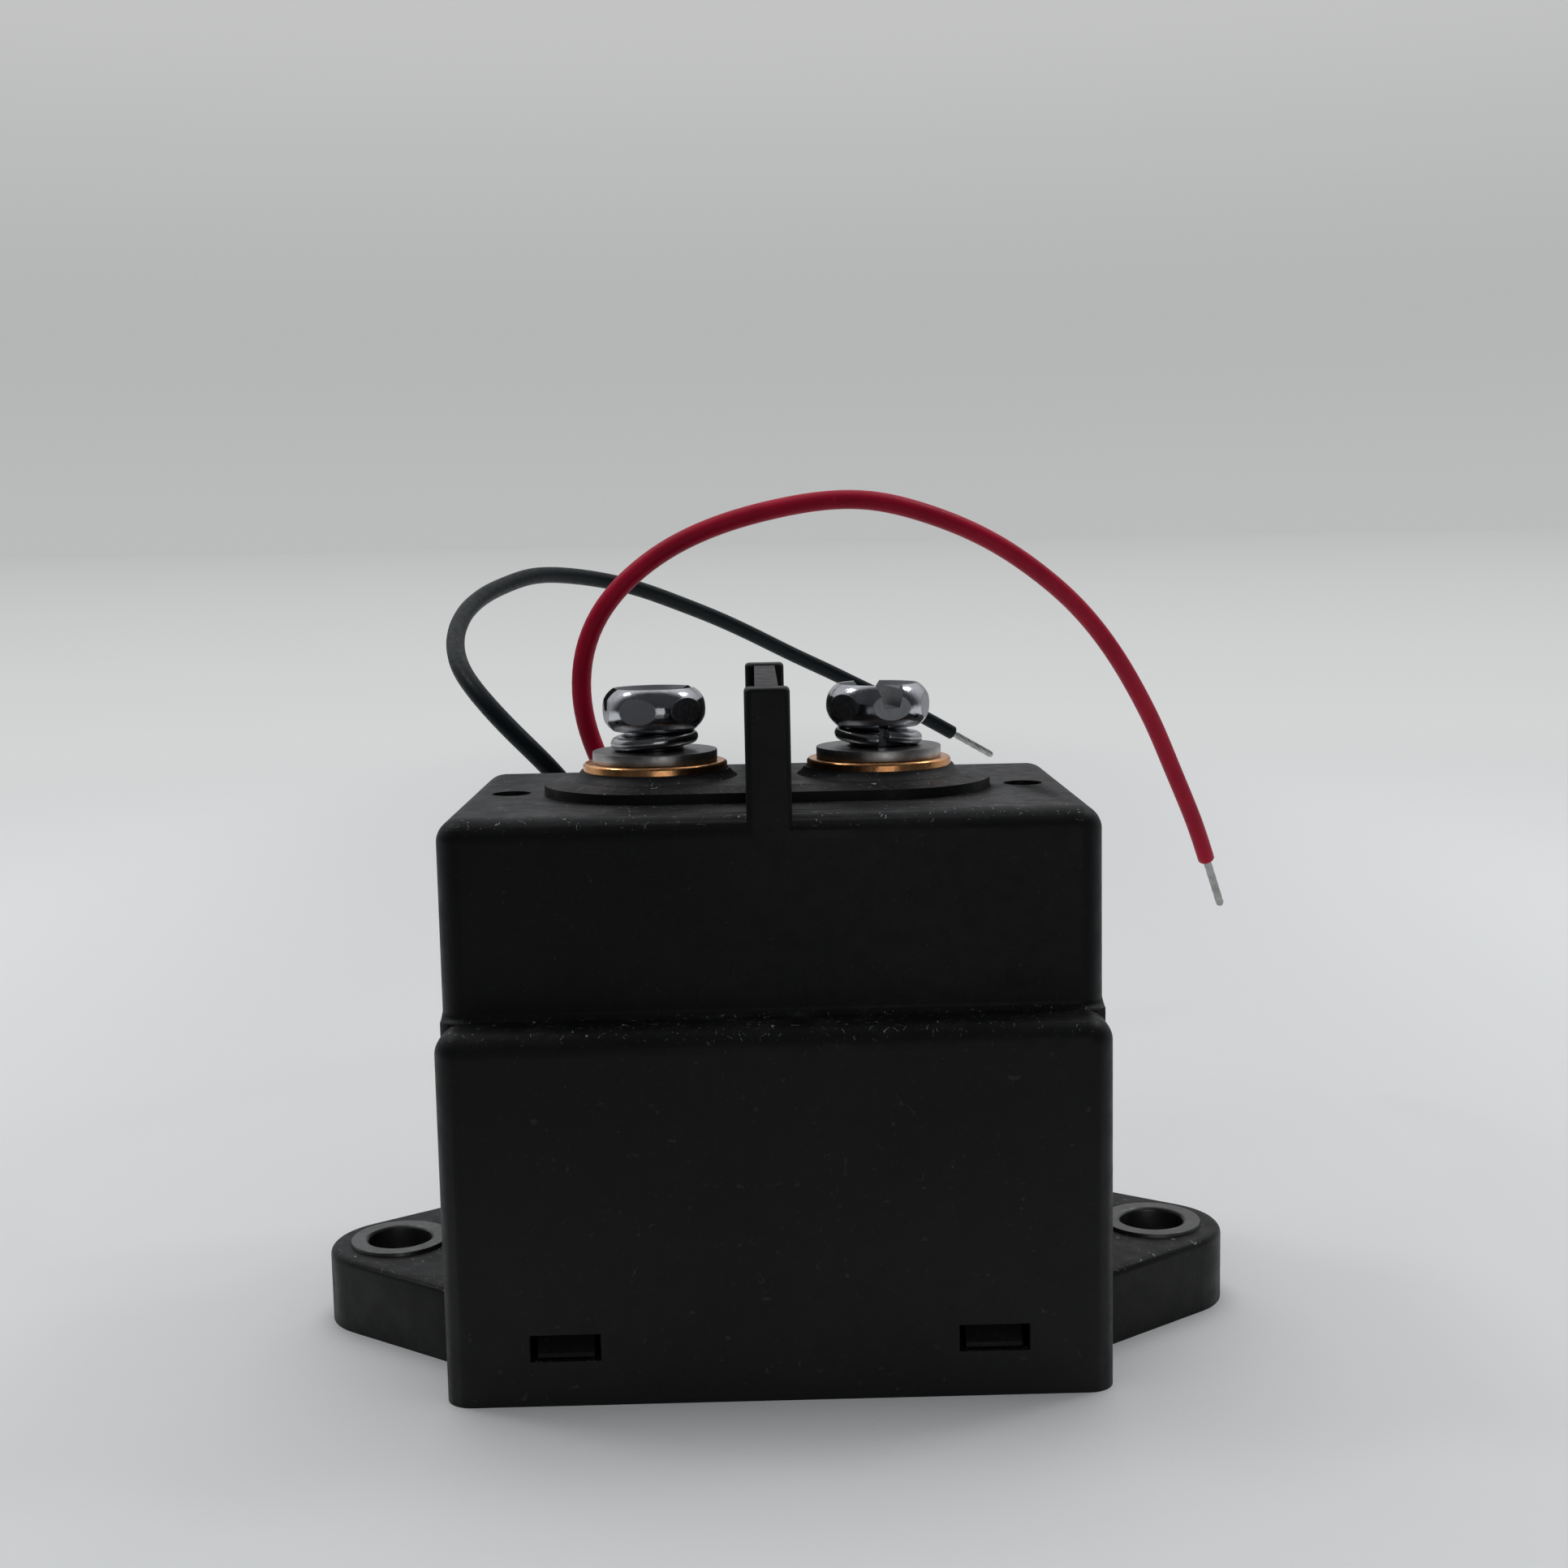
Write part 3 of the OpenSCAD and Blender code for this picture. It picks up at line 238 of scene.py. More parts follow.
def smooth_line(route, spacing, ease=0.003, steps=24):
    """Evenly spaced points on a smooth curve along the route.

    The curve's pieces are cubics, each between two neighbouring route points: it leaves a point with half the
    difference of the points on both sides of that point. Each point of the line is then the mean of its
    neighbours, weighted by exp(-(distance / ease) squared / 2), on the curve continued straight on.
    """
    p = np.asarray(route, float) * MM
    ends = np.concatenate([[2 * p[0] - p[1]], p, [2 * p[-1] - p[-2]]])
    a, b, c, d = ends[:-3, None], ends[1:-2, None], ends[2:-1, None], ends[3:, None]
    t = np.linspace(0, 1, steps, endpoint=False)[None, :, None]
    line = 0.5 * (
        2 * b + (c - a) * t + (2 * a - 5 * b + 4 * c - d) * t**2 + (3 * b - a - 3 * c + d) * t**3
    )
    line = np.concatenate([line.reshape(-1, 3), p[-1:]])
    along = np.concatenate([[0], np.cumsum(np.linalg.norm(np.diff(line, axis=0), axis=1))])
    even = np.linspace(0, along[-1], max(2, round(along[-1] / spacing) + 1))
    line = np.stack([np.interp(even, along, line[:, k]) for k in range(3)], axis=1)
    reach = int(4 * ease / spacing)
    before = 2 * line[0] - line[reach:0:-1]
    after = 2 * line[-1] - line[-2:-reach - 2:-1]
    weight = np.exp(-0.5 * (np.arange(-reach, reach + 1) * spacing / ease) ** 2)
    longer = np.concatenate([before, line, after])
    return np.stack([np.convolve(longer[:, k], weight / weight.sum(), "valid") for k in range(3)], axis=1)


def line_frames(line, aside):
    """Two unit vectors square to a line at each of its points: tangent cross aside, and tangent cross that"""
    tangent = np.gradient(line, axis=0)
    tangent /= np.linalg.norm(tangent, axis=1, keepdims=True)
    first = np.cross(tangent, aside)
    first /= np.linalg.norm(first, axis=1, keepdims=True)
    return first, np.cross(tangent, first)


def tube_points(line, radius, angles, aside):
    """Rings of points round a line: the line's point plus radius times (cos a along the first vector + sin a
    along the second). The radius may differ from ring to ring and from angle to angle"""
    first, second = line_frames(line, np.asarray(aside, float))
    ring = np.cos(angles)[..., None] * first[:, None] + np.sin(angles)[..., None] * second[:, None]
    return line[:, None] + radius[..., None] * ring


# Finishes


def new_finish(name, **sockets):
    """A material with one shader, whose plain values are set on its own sockets"""
    finish = bpy.data.materials.new(name)
    finish.use_nodes = True
    shader = finish.node_tree.nodes["Principled BSDF"]
    for key, value in sockets.items():
        shader.inputs[key.replace("_", " ")].default_value = value
    return finish, finish.node_tree, shader


def put(tree, kind, output=0, settings=(), **given):
    """Adds a node with some settings, sets or links its inputs by name, and returns one of its outputs"""
    made = tree.nodes.new(kind)
    for key, value in dict(settings).items():
        setattr(made, key, value)
    for key, value in given.items():
        socket = made.inputs[key.replace("_", " ")]
        if isinstance(value, bpy.types.NodeSocket):
            tree.links.new(value, socket)
        else:
            socket.default_value = value
    return made.outputs[output]


def calc(tree, operation, *terms):
    """A Math node with its terms in order"""
    made = tree.nodes.new("ShaderNodeMath")
    made.operation = operation
    for socket, term in zip(made.inputs, terms):
        if isinstance(term, bpy.types.NodeSocket):
            tree.links.new(term, socket)
        else:
            socket.default_value = term
    return made.outputs[0]


def place(tree):
    """Object coordinates"""
    return put(tree, "ShaderNodeTexCoord", "Object")


def vector_length(tree, vector):
    """The length of a vector"""
    return put(tree, "ShaderNodeVectorMath", "Value", settings={"operation": "LENGTH"}, Vector=vector)


def noise(tree, scale, detail=3.0, roughness=0.5):
    """Soft noise between 0 and 1, with scale in cells a metre"""
    return put(
        tree, "ShaderNodeTexNoise", "Fac", Vector=place(tree), Scale=scale, Detail=detail, Roughness=roughness
    )


def band(tree, value, low, high, to_low=0.0, to_high=1.0):
    """Carries value from the span low to high over to another span, with smooth ends"""
    return put(
        tree, "ShaderNodeMapRange", settings={"interpolation_type": "SMOOTHSTEP"},
        Value=value, From_Min=low, From_Max=high, To_Min=to_low, To_Max=to_high
    )


def blend(tree, factor, first, second):
    """A colour between two colours"""
    made = tree.nodes.new("ShaderNodeMix")
    made.data_type = "RGBA"
    for key, value in ((0, factor), (6, first), (7, second)):
        if isinstance(value, bpy.types.NodeSocket):
            tree.links.new(value, made.inputs[key])
        else:
            made.inputs[key].default_value = value if key == 0 else (*value, 1)
    return made.outputs[2]


def bump(tree, shader, *layers):
    """Stacks height layers, each (height socket, depth in metres), on the shader's normal"""
    normal = None
    for height, depth in layers:
        given = {"Height": height, "Strength": 1.0, "Distance": depth}
        if normal is not None:
            given["Normal"] = normal
        normal = put(tree, "ShaderNodeBump", **given)
    tree.links.new(normal, shader.inputs["Normal"])


def fibres(tree, scale, width, share):
    """Short curved hairs: thin lines where one noise crosses its middle, kept where another noise is high"""
    line = calc(tree, "ABSOLUTE", calc(tree, "SUBTRACT", noise(tree, scale, 0.0), 0.5))
    thin = band(tree, line, 0.0, width, 1.0, 0.0)
    return calc(tree, "MULTIPLY", thin, band(tree, noise(tree, scale * 1.7, 1.0), share, share + 0.03))


def specks(tree, scale, radius, share):
    """Small round grains: cells whose centre is near, kept for a share of the cells"""
    made = tree.nodes.new("ShaderNodeTexVoronoi")
    tree.links.new(place(tree), made.inputs["Vector"])
    made.inputs["Scale"].default_value = scale
    near = band(tree, made.outputs["Distance"], 0.0, radius, 1.0, 0.0)
    chosen = put(tree, "ShaderNodeSeparateColor", Color=made.outputs["Color"])
    return calc(tree, "MULTIPLY", near, calc(tree, "GREATER_THAN", chosen, 1 - share))


def upward(tree):
    """1 on faces that look up, 0 on upright ones"""
    normal = put(tree, "ShaderNodeTexCoord", "Normal")
    return band(tree, put(tree, "ShaderNodeSeparateXYZ", "Z", Vector=normal), 0.25, 0.9)


def moulded_plastic(name, upper, base, step_height, lint):
    """Black moulded plastic: eroded grain, another colour below a height, lint and dust on what looks up"""
    finish, tree, shader = new_finish(name, Specular_IOR_Level=0.21)
    height = put(tree, "ShaderNodeSeparateXYZ", "Z", Vector=place(tree))
    # The housing is coloured with the base colour below step_height and the upper colour above it
    lower = band(tree, height, step_height + 0.15 * MM, step_height - 0.15 * MM)
    shade = blend(tree, lower, upper, base)
    cloud = band(tree, noise(tree, 60, 4.0), 0.3, 0.7, 0.0, 0.35)
    shade = blend(tree, cloud, shade, tuple(1.7 * c for c in base))
    up = upward(tree)
    amount = band(tree, up, 0.0, 1.0, 0.06, 1.0)
    hairs = calc(tree, "MAXIMUM", fibres(tree, 620, 0.010, 0.62), fibres(tree, 1100, 0.016, 0.62))
    grains = calc(tree, "MAXIMUM", specks(tree, 4600, 0.28, 0.16), specks(tree, 2300, 0.18, 0.06))
    grains = calc(tree, "MULTIPLY", grains, band(tree, noise(tree, 230, 3.0, 0.6), 0.42, 0.62, 0.1, 0.9))
    dust = calc(tree, "MULTIPLY", calc(tree, "MAXIMUM", hairs, grains), amount)
    dust = calc(tree, "MULTIPLY", dust, lint)
    veil = calc(tree, "MULTIPLY", band(tree, noise(tree, 260, 5.0, 0.7), 0.45, 0.8), up)
    shade = blend(tree, calc(tree, "MULTIPLY", veil, 0.05 * lint), shade, (0.42, 0.42, 0.40))
    shade = blend(tree, dust, shade, (0.52, 0.53, 0.52))
    tree.links.new(shade, shader.inputs["Base Color"])
    rough = band(tree, noise(tree, 500, 4.0, 0.6), 0.3, 0.7, 0.42, 0.54)
    rough = calc(tree, "ADD", rough, calc(tree, "MULTIPLY", dust, 0.3))
    tree.links.new(rough, shader.inputs["Roughness"])
    bump(tree, shader, (noise(tree, 4200, 2.0, 0.6), 0.00002), (dust, 0.00002))
    return finish


def insulation(name, colour, wear):
    """Extruded wire insulation: a soft gloss, a second shade in patches, small scuffs and a fine grain"""
    finish, tree, shader = new_finish(name, Specular_IOR_Level=0.14)
    patch = band(tree, noise(tree, 180, 4.0, 0.6), 0.3, 0.75)
    shade = blend(tree, patch, colour, tuple(wear * c for c in colour))
    scuff = calc(tree, "MULTIPLY", fibres(tree, 800, 0.012, 0.6), 0.25)
    shade = blend(tree, scuff, shade, tuple(min(1.0, 2.5 * c + 0.03) for c in colour))
    tree.links.new(shade, shader.inputs["Base Color"])
    tree.links.new(band(tree, noise(tree, 1400, 3.0), 0.3, 0.7, 0.38, 0.5), shader.inputs["Roughness"])
    bump(tree, shader, (noise(tree, 2600, 3.0), 0.00001))
    return finish


def head_masks(tree, x, turn, apothem, top):
    """Two masks of a bolt head whose axis stands at x.

    The first is 1 on the six flats: there the distance from the axis times cos(angle from the nearest flat's
    middle) reaches the apothem. The second is 1 in the dish and in the slot, which widens towards its mouth;
    it is where the bolt steel paints shade into these hollows.
    """
    moved = put(tree, "ShaderNodeMapping", Vector=place(tree), Location=(-x, 0, -top))
    parts = tree.nodes.new("ShaderNodeSeparateXYZ")
    tree.links.new(moved, parts.inputs[0])
    across, deep, level = parts.outputs
    away = calc(tree, "SQRT", calc(tree, "MULTIPLY_ADD", across, across, calc(tree, "MULTIPLY", deep, deep)))
    angle = calc(tree, "SUBTRACT", calc(tree, "ARCTAN2", deep, across), turn)
    near = calc(tree, "WRAP", angle, math.pi / 6, -math.pi / 6)
    reach = calc(tree, "MULTIPLY", away, calc(tree, "COSINE", near))
    flats = band(tree, reach, apothem - 0.07 * MM, apothem - 0.02 * MM)
    aside = calc(tree, "ABSOLUTE", calc(tree, "MULTIPLY", away, calc(tree, "SINE", angle)))
    widening = (SLOT_MOUTH - SLOT_FLOOR) / 2 / SLOT_DEPTH
    half_width = calc(tree, "MULTIPLY_ADD", level, widening, SLOT_MOUTH / 2)
    slot = band(tree, calc(tree, "SUBTRACT", aside, half_width), 0.0, 0.04 * MM, 1.0, 0.0)
    within = band(tree, away, DISH_RADIUS - 0.1 * MM, DISH_RADIUS, 1.0, 0.0)
    dish = calc(tree, "MULTIPLY", within, band(tree, level, -0.02 * MM, -0.06 * MM))
    # Mask of the dish and slot, where the bolt steel paints shade
    inner = calc(tree, "MAXIMUM", slot, dish)
    return flats, calc(tree, "MULTIPLY", inner, band(tree, level, -SLOT_DEPTH - 0.1 * MM, -SLOT_DEPTH))


def bolt_steel(name, colour, *form):
    """Bright plated head: mottled gloss and grainy patches on the barrel, duller flats, painted shade in dish
    and slot
    """
    finish, tree, shader = new_finish(name, Metallic=1.0)
    flats, inner = head_masks(tree, *form)
    cloud = band(tree, noise(tree, 500, 4.0, 0.6), 0.3, 0.72)
    shade = blend(tree, cloud, colour, tuple(0.72 * c for c in colour))
    shade = blend(tree, flats, shade, tuple(0.62 * c for c in colour))
    # Painted shade: the dish and the slot are coloured at 0.16 of the steel
    shade = blend(tree, inner, shade, tuple(0.16 * c for c in colour))
    tree.links.new(shade, shader.inputs["Base Color"])
    gloss = band(tree, noise(tree, 1600, 5.0, 0.65), 0.3, 0.75, 0.08, 0.20)
    dull = band(tree, noise(tree, 2600, 3.0, 0.6), 0.3, 0.7, 0.30, 0.42)
    masked = calc(tree, "MAXIMUM", flats, inner)
    mixed = calc(tree, "MULTIPLY", masked, calc(tree, "SUBTRACT", dull, gloss))
    tree.links.new(calc(tree, "ADD", gloss, mixed), shader.inputs["Roughness"])
    patches = band(tree, noise(tree, 420, 2.0), 0.42, 0.58)
    grains = calc(tree, "MULTIPLY", noise(tree, 5000, 2.0, 0.6), patches)
    bump(tree, shader, (noise(tree, 800, 2.0), 0.000012), (grains, 0.000016))
    return finish


def metal(name, colour, rough, mottle=0.15, pits=0.00001, grain=900.0, tint=None):
    """Metal with a mottled gloss, small pits and a second tint in patches"""
    finish, tree, shader = new_finish(name, Metallic=1.0)
    cloud = band(tree, noise(tree, grain * 0.35, 4.0, 0.6), 0.3, 0.72)
    shade = blend(tree, cloud, colour, tint or tuple(0.8 * c for c in colour))
    tree.links.new(shade, shader.inputs["Base Color"])
    gloss = band(tree, noise(tree, grain, 5.0, 0.65), 0.25, 0.75, rough, rough + mottle)
    tree.links.new(gloss, shader.inputs["Roughness"])
    holes = band(tree, noise(tree, grain * 3, 3.0, 0.6), 0.3, 0.55)
    bump(tree, shader, (noise(tree, grain, 3.0, 0.6), pits * 1.5), (holes, pits))
    return finish


def turned_metal(name, colour, centres, rough, pitch=0.00012, tint=None, above=None):
    """Turned metal: fine rings round the nearest upright axis, a mottled gloss, and a painted shade colour on
    top if given
    """
    finish, tree, shader = new_finish(name, Metallic=1.0)
    away = None
    for x in centres:
        moved = put(tree, "ShaderNodeMapping", Vector=place(tree), Location=(-x, 0, 0), Scale=(1, 1, 0))
        radius = vector_length(tree, moved)
        away = radius if away is None else calc(tree, "MINIMUM", away, radius)
    rings = calc(tree, "SINE", calc(tree, "MULTIPLY", away, math.tau / pitch))
    rings = calc(tree, "MULTIPLY", rings, band(tree, noise(tree, 900, 2.0), 0.35, 0.7))
    cloud = band(tree, noise(tree, 350, 4.0, 0.6), 0.35, 0.7)
    shade = blend(tree, cloud, colour, tint or tuple(0.82 * c for c in colour))
    if above:
        shade = blend(tree, upward(tree), shade, above)
    tree.links.new(shade, shader.inputs["Base Color"])
    gloss = band(tree, noise(tree, 1100, 4.0, 0.6), 0.25, 0.75, rough, rough + 0.14)
    tree.links.new(gloss, shader.inputs["Roughness"])
    bump(tree, shader, (rings, 0.000004), (noise(tree, 1500, 3.0), 0.000012))
    return finish


def matte_solid(name, colour, rough, second=None, grain=700.0, depth=0.00001, **sockets):
    """Rubber, ceramic, resin or film: a patchy colour with a fine grain"""
    finish, tree, shader = new_finish(name, **sockets)
    cloud = band(tree, noise(tree, grain * 0.3, 4.0), 0.3, 0.7)
    shade = blend(tree, cloud, colour, second or tuple(0.86 * c for c in colour))
    tree.links.new(shade, shader.inputs["Base Color"])
    gloss = band(tree, noise(tree, grain, 3.0), 0.3, 0.7, rough - 0.06, rough + 0.06)
    tree.links.new(gloss, shader.inputs["Roughness"])
    bump(tree, shader, (noise(tree, grain * 2.5, 2.0), depth))
    return finish


def wound_wire(name, colour, pitch):
    """Enamelled wire laid in rings along the upright axis, as rounded ridges of one wire's height, with
    painted shade in the grooves
    """
    finish, tree, shader = new_finish(
        name, Metallic=0.85, Coat_Weight=0.5, Coat_Roughness=0.15, Roughness=0.3
    )
    height = put(tree, "ShaderNodeSeparateXYZ", "Z", Vector=place(tree))
    ridge = calc(tree, "ABSOLUTE", calc(tree, "SINE", calc(tree, "MULTIPLY", height, math.pi / pitch)))
    cloud = band(tree, noise(tree, 300, 3.0), 0.3, 0.7)
    shade = blend(tree, cloud, colour, tuple(0.75 * c for c in colour))
    # Painted shade: the grooves between the rings are coloured at 0.25 of the wire
    groove_shade = band(tree, ridge, 0.0, 0.35, 1.0, 0.0)
    tree.links.new(blend(tree, groove_shade, shade, tuple(0.25 * c for c in colour)), shader.inputs["Base Color"])
    bump(tree, shader, (ridge, pitch * 0.4))
    return finish


def soften_edges(node, width, segments=2, angle=35.0):
    """Rounds a rigid CAD node's sharp edges: equal corners are welded, flats joined, edges bevelled"""
    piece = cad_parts[node]
    weld = piece.modifiers.new("Weld", "WELD")
    weld.merge_threshold = 1e-6
    flats = piece.modifiers.new("Join flats", "DECIMATE")
    flats.decimate_type = "DISSOLVE"
    flats.angle_limit = math.radians(0.6)
    bevel = piece.modifiers.new("Soft edges", "BEVEL")
    bevel.width = width
    bevel.segments = segments
    bevel.limit_method = "ANGLE"
    bevel.angle_limit = math.radians(angle)
    bevel.use_clamp_overlap = True
    bevel.harden_normals = False


def dress(finish, *nodes):
    """Gives CAD nodes a finish"""
    for name in nodes:
        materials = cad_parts[name].data.materials
        materials.clear()
        materials.append(finish)


# Operators, one for each piece or group


class RELAY_OT_stage(bpy.types.Operator):
    """Camera, floor, world and lamps"""

    bl_idname = "relay.stage"
    bl_label = "Stage"

    def execute(self, context):
        settings = context.scene.relay_stage
        scene = context.scene
        scene.view_settings.view_transform = "Standard"
        self.add_camera(scene, settings.lens)
        self.add_floor(settings)
        self.add_world(scene)
        overhead = self.add_lamp("overhead", (0.0, 0.14, 0.85), (0.0, 0.0, 0.0), 0.7, settings.overhead)
        overhead.visible_glossy = False
        side_power = 0.14 * settings.overhead
        self.add_lamp("left", (-0.36, 0.15, 0.58), (0.0, 0.0, 0.05), 0.11, side_power)
        self.add_lamp("right", (0.40, 0.18, 0.56), (0.0, 0.0, 0.05), 0.11, side_power)
        card = self.add_lamp("card", (0.055, -0.26, 0.066), (0.01, 0.0, 0.06), 0.13, settings.card)
        card.visible_diffuse = False
        return {"FINISHED"}

    def add_camera(self, scene, lens):
        """The photograph's camera: turned by its yaw about the upright axis, tipped down by its pitch, and
        turned by its roll about its own line of sight"""
        camera = bpy.data.objects.new("camera", bpy.data.cameras.new("camera"))
        scene.collection.objects.link(camera)
        camera.data.lens = lens
        camera.data.sensor_width = 36
        camera.data.clip_start = 0.01
        camera.data.clip_end = 100
        right = Vector((math.cos(CAMERA_YAW), math.sin(CAMERA_YAW), 0))
        level = Vector((-math.sin(CAMERA_YAW), math.cos(CAMERA_YAW), 0))
        ahead = level * math.cos(CAMERA_PITCH) - Vector((0, 0, math.sin(CAMERA_PITCH)))
        above = right.cross(ahead)
        side = right * math.cos(CAMERA_ROLL) - above * math.sin(CAMERA_ROLL)
        top = right * math.sin(CAMERA_ROLL) + above * math.cos(CAMERA_ROLL)
        turned = Matrix((side, top, -ahead)).transposed().to_4x4()
        camera.matrix_world = Matrix.Translation(CAMERA_PLACE) @ turned
        scene.camera = camera

    def add_lamp(self, name, at, towards, size, power):
        """A square soft lamp that looks at a point and isn't seen by the camera"""
        lamp = bpy.data.lights.new("lamp_" + name, "AREA")
        lamp.size = size
        lamp.energy = power
        holder = bpy.data.objects.new("lamp_" + name, lamp)
        holder.visible_camera = False
        holder.location = at
        holder.rotation_euler = (Vector(towards) - Vector(at)).to_track_quat("-Z", "Y").to_euler()
        bpy.context.scene.collection.objects.link(holder)
        return holder

    def add_floor(self, settings, half=30.0, fade_length=1.4):
        """A wide pale floor with a painted shadow: it is coloured a little darker round and behind the relay.

        Far away the camera sees it glow: the glow's colour goes over to the backdrop's by distance divided by
        distance plus fade_length, and the painted shadow darkens the glow too. All other rays see a painted
        dark patch on the floor in front, a painted dark surround which the metal mirrors.
        """
        corners = np.array([[-half, -half, 0], [half, -half, 0], [half, half, 0], [-half, half, 0]])
        finish, tree, shader = new_finish("pale_floor", Roughness=0.75, Specular_IOR_Level=0.2)
        seen = put(tree, "ShaderNodeLightPath", "Is Camera Ray")
        oval = put(tree, "ShaderNodeMapping", Vector=place(tree), Location=(0, -0.35, 0), Scale=(8.0, 2.5, 0))
        # Painted shadow: the floor's colour, and its glow below, fall to 0.86 in an oval round and behind the
        # relay
        painted_floor_shadow = band(tree, vector_length(tree, oval), 0.55, 1.6, 0.86, 1.0)
        near = blend(tree, painted_floor_shadow, (0, 0, 0), tuple(settings.floor))
        # Painted dark reflection: for all rays but the camera's, the floor in front is coloured nearly black,
        # a dark surround that the metal mirrors
        depth = put(tree, "ShaderNodeSeparateXYZ", "Y", Vector=place(tree))
        front = calc(tree, "MULTIPLY", band(tree, depth, -0.03, -0.12), calc(tree, "SUBTRACT", 1.0, seen))
        near = blend(tree, calc(tree, "MULTIPLY", front, 0.75), near, (0.02, 0.02, 0.02))
        tree.links.new(near, shader.inputs["Base Color"])
        bump(tree, shader, (noise(tree, 1800, 2.0), 0.00002))
        away = vector_length(tree, place(tree))
        fade = calc(tree, "DIVIDE", away, calc(tree, "ADD", away, fade_length))
        glow = blend(tree, fade, NEAR_GLOW, BACKDROP)
        # The painted shadow darkens the camera's glow as well
        glow = put(tree, "ShaderNodeEmission", Color=blend(tree, painted_floor_shadow, (0, 0, 0), glow), Strength=1.0)
        mixed = tree.nodes.new("ShaderNodeMixShader")
        tree.links.new(calc(tree, "MULTIPLY", band(tree, away, 0.2, 0.7), seen), mixed.inputs[0])
        tree.links.new(shader.outputs[0], mixed.inputs[1])
        tree.links.new(glow, mixed.inputs[2])
        tree.links.new(mixed.outputs[0], tree.nodes["Material Output"].inputs["Surface"])
        add_piece("floor", corners, [[0, 1, 2, 3]], finish, smooth=False)

    def add_world(self, scene):
        """A pale grey surround for the camera, and a light that is bright above and behind, dark in front"""
        world = bpy.data.worlds.new("surround")
        scene.world = world
        world.use_nodes = True
        tree = world.node_tree
        parts = tree.nodes.new("ShaderNodeSeparateXYZ")
        tree.links.new(put(tree, "ShaderNodeTexCoord", "Generated"), parts.inputs[0])
        level = parts.outputs["Z"]
        low = blend(tree, band(tree, level, 0.0, 0.10), BACKDROP, (0.462, 0.470, 0.468))
        backdrop = blend(tree, band(tree, level, 0.10, 0.30), low, (0.565, 0.566, 0.566))
        front = band(tree, parts.outputs["Y"], -0.1, 0.4, 1.0, 0.0)
        mirrored = put(tree, "ShaderNodeLightPath", "Is Glossy Ray")
        lit = blend(tree, band(tree, level, -0.1, 0.9), (0.34, 0.35, 0.36), (0.80, 0.81, 0.83))
        share = calc(tree, "MULTIPLY_ADD", mirrored, 0.35, 0.60)
        lit = blend(tree, calc(tree, "MULTIPLY", front, share), lit, FRONT_DARK)
        seen = put(tree, "ShaderNodeLightPath", "Is Camera Ray")
        tree.links.new(blend(tree, seen, lit, backdrop), tree.nodes["Background"].inputs["Color"])


class RELAY_OT_leads(bpy.types.Operator):
    """The two free coil leads and their bare ends"""

    bl_idname = "relay.leads"
    bl_label = "Coil leads"

    def execute(self, context):
        settings = context.scene.relay_leads
        tinned = metal("tinned_copper", (0.46, 0.46, 0.45), 0.30, 0.2, 0.000004, 1600, (0.30, 0.29, 0.28))
        red = insulation("red_insulation", tuple(settings.red), 0.8)
        black = insulation("black_insulation", tuple(settings.black), 1.5)
        self.add_lead(settings, "red", RED_ROUTE, red, tinned, (0.35, 0.85, 0.15))
        self.add_lead(settings, "black", BLACK_ROUTE, black, tinned, (0.85, -0.25, 0.45))
        dress(red, "red_inner_lead")
        dress(black, "black_inner_lead")
        return {"FINISHED"}

    def add_lead(self, settings, colour, route, finish, tinned, aside, sides=20, chamfer=0.1 * MM):
        """One insulated lead along its route, cut square at the far end, with its bare strands"""
        line = smooth_line(route, 1.2 * MM)
        radius = settings.diameter / 2
        angles = np.linspace(0, math.tau, sides, endpoint=False)[None]
        tip = line[-1] - line[-2]
        tip /= np.linalg.norm(tip)
        rings = np.concatenate([line[:-1], [line[-1] - 1.2 * chamfer * tip, line[-1]]])
        radii = np.full((len(rings), 1), radius)
        radii[-1] = radius - chamfer
        points = tube_points(rings, radii, angles, aside).reshape(-1, 3)
        lead = add_piece(f"{colour}_wire", points, capped_faces(len(rings), sides), finish)
        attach(lead, "case")
        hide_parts(f"{colour}_lead")
        ends = self.add_strands(settings, colour, line[-1], tip, tinned)

    def add_strands(self, settings, colour, start, direction, tinned, lay=11 * MM, hidden=0.6 * MM):
        """Twisted strands: the radius is the conductor's times (0.74 + 0.26 times the square root of the
        absolute sine of half the strand angle), and the angle turns once in the lay's length"""
        sides = 14 * settings.strands
        run = np.linspace(-hidden, settings.bare_length, 60)
        line = start + run[:, None] * direction
        angles = np.linspace(0, math.tau, sides, endpoint=False)[None]
        twist = run[:, None] * math.tau / lay
        lobe = np.abs(np.sin(settings.strands * (angles - twist) / 2))
        radius = settings.conductor / 2 * (0.74 + 0.26 * np.sqrt(lobe))
        radius = radius * np.interp(run, [run[0], run[-1] - 0.3 * MM, run[-1]], [1, 1, 0.7])[:, None]
        across = np.cross(direction, (0.3, 0.4, 0.86))
        points = tube_points(line, radius, np.broadcast_to(angles, radius.shape), across).reshape(-1, 3)
        piece = add_piece(f"{colour}_strands", points, capped_faces(len(run), sides), tinned)
        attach(piece, "case")
        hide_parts(f"{colour}_lead_end")
        return piece


class RELAY_OT_housing(bpy.types.Operator):
    """The housing and its base cover"""

    bl_idname = "relay.housing"
    bl_label = "Housing"

    def execute(self, context):
        settings = context.scene.relay_housing
        plastic = moulded_plastic(
            "black_housing", tuple(settings.upper), tuple(settings.base), settings.step_height, settings.lint
        )
        dress(plastic, "housing")
        # Painted shade: the base cover is coloured at 0.4 of the base, darkening its hooks where they sit in
        # the housing's windows
        cover = tuple(0.4 * c for c in settings.base)
        dress(moulded_plastic("black_cover", cover, cover, settings.step_height, 0.1), "base_cover")
        soften_edges("housing", settings.edge)
        soften_edges("base_cover", settings.edge)
        return {"FINISHED"}


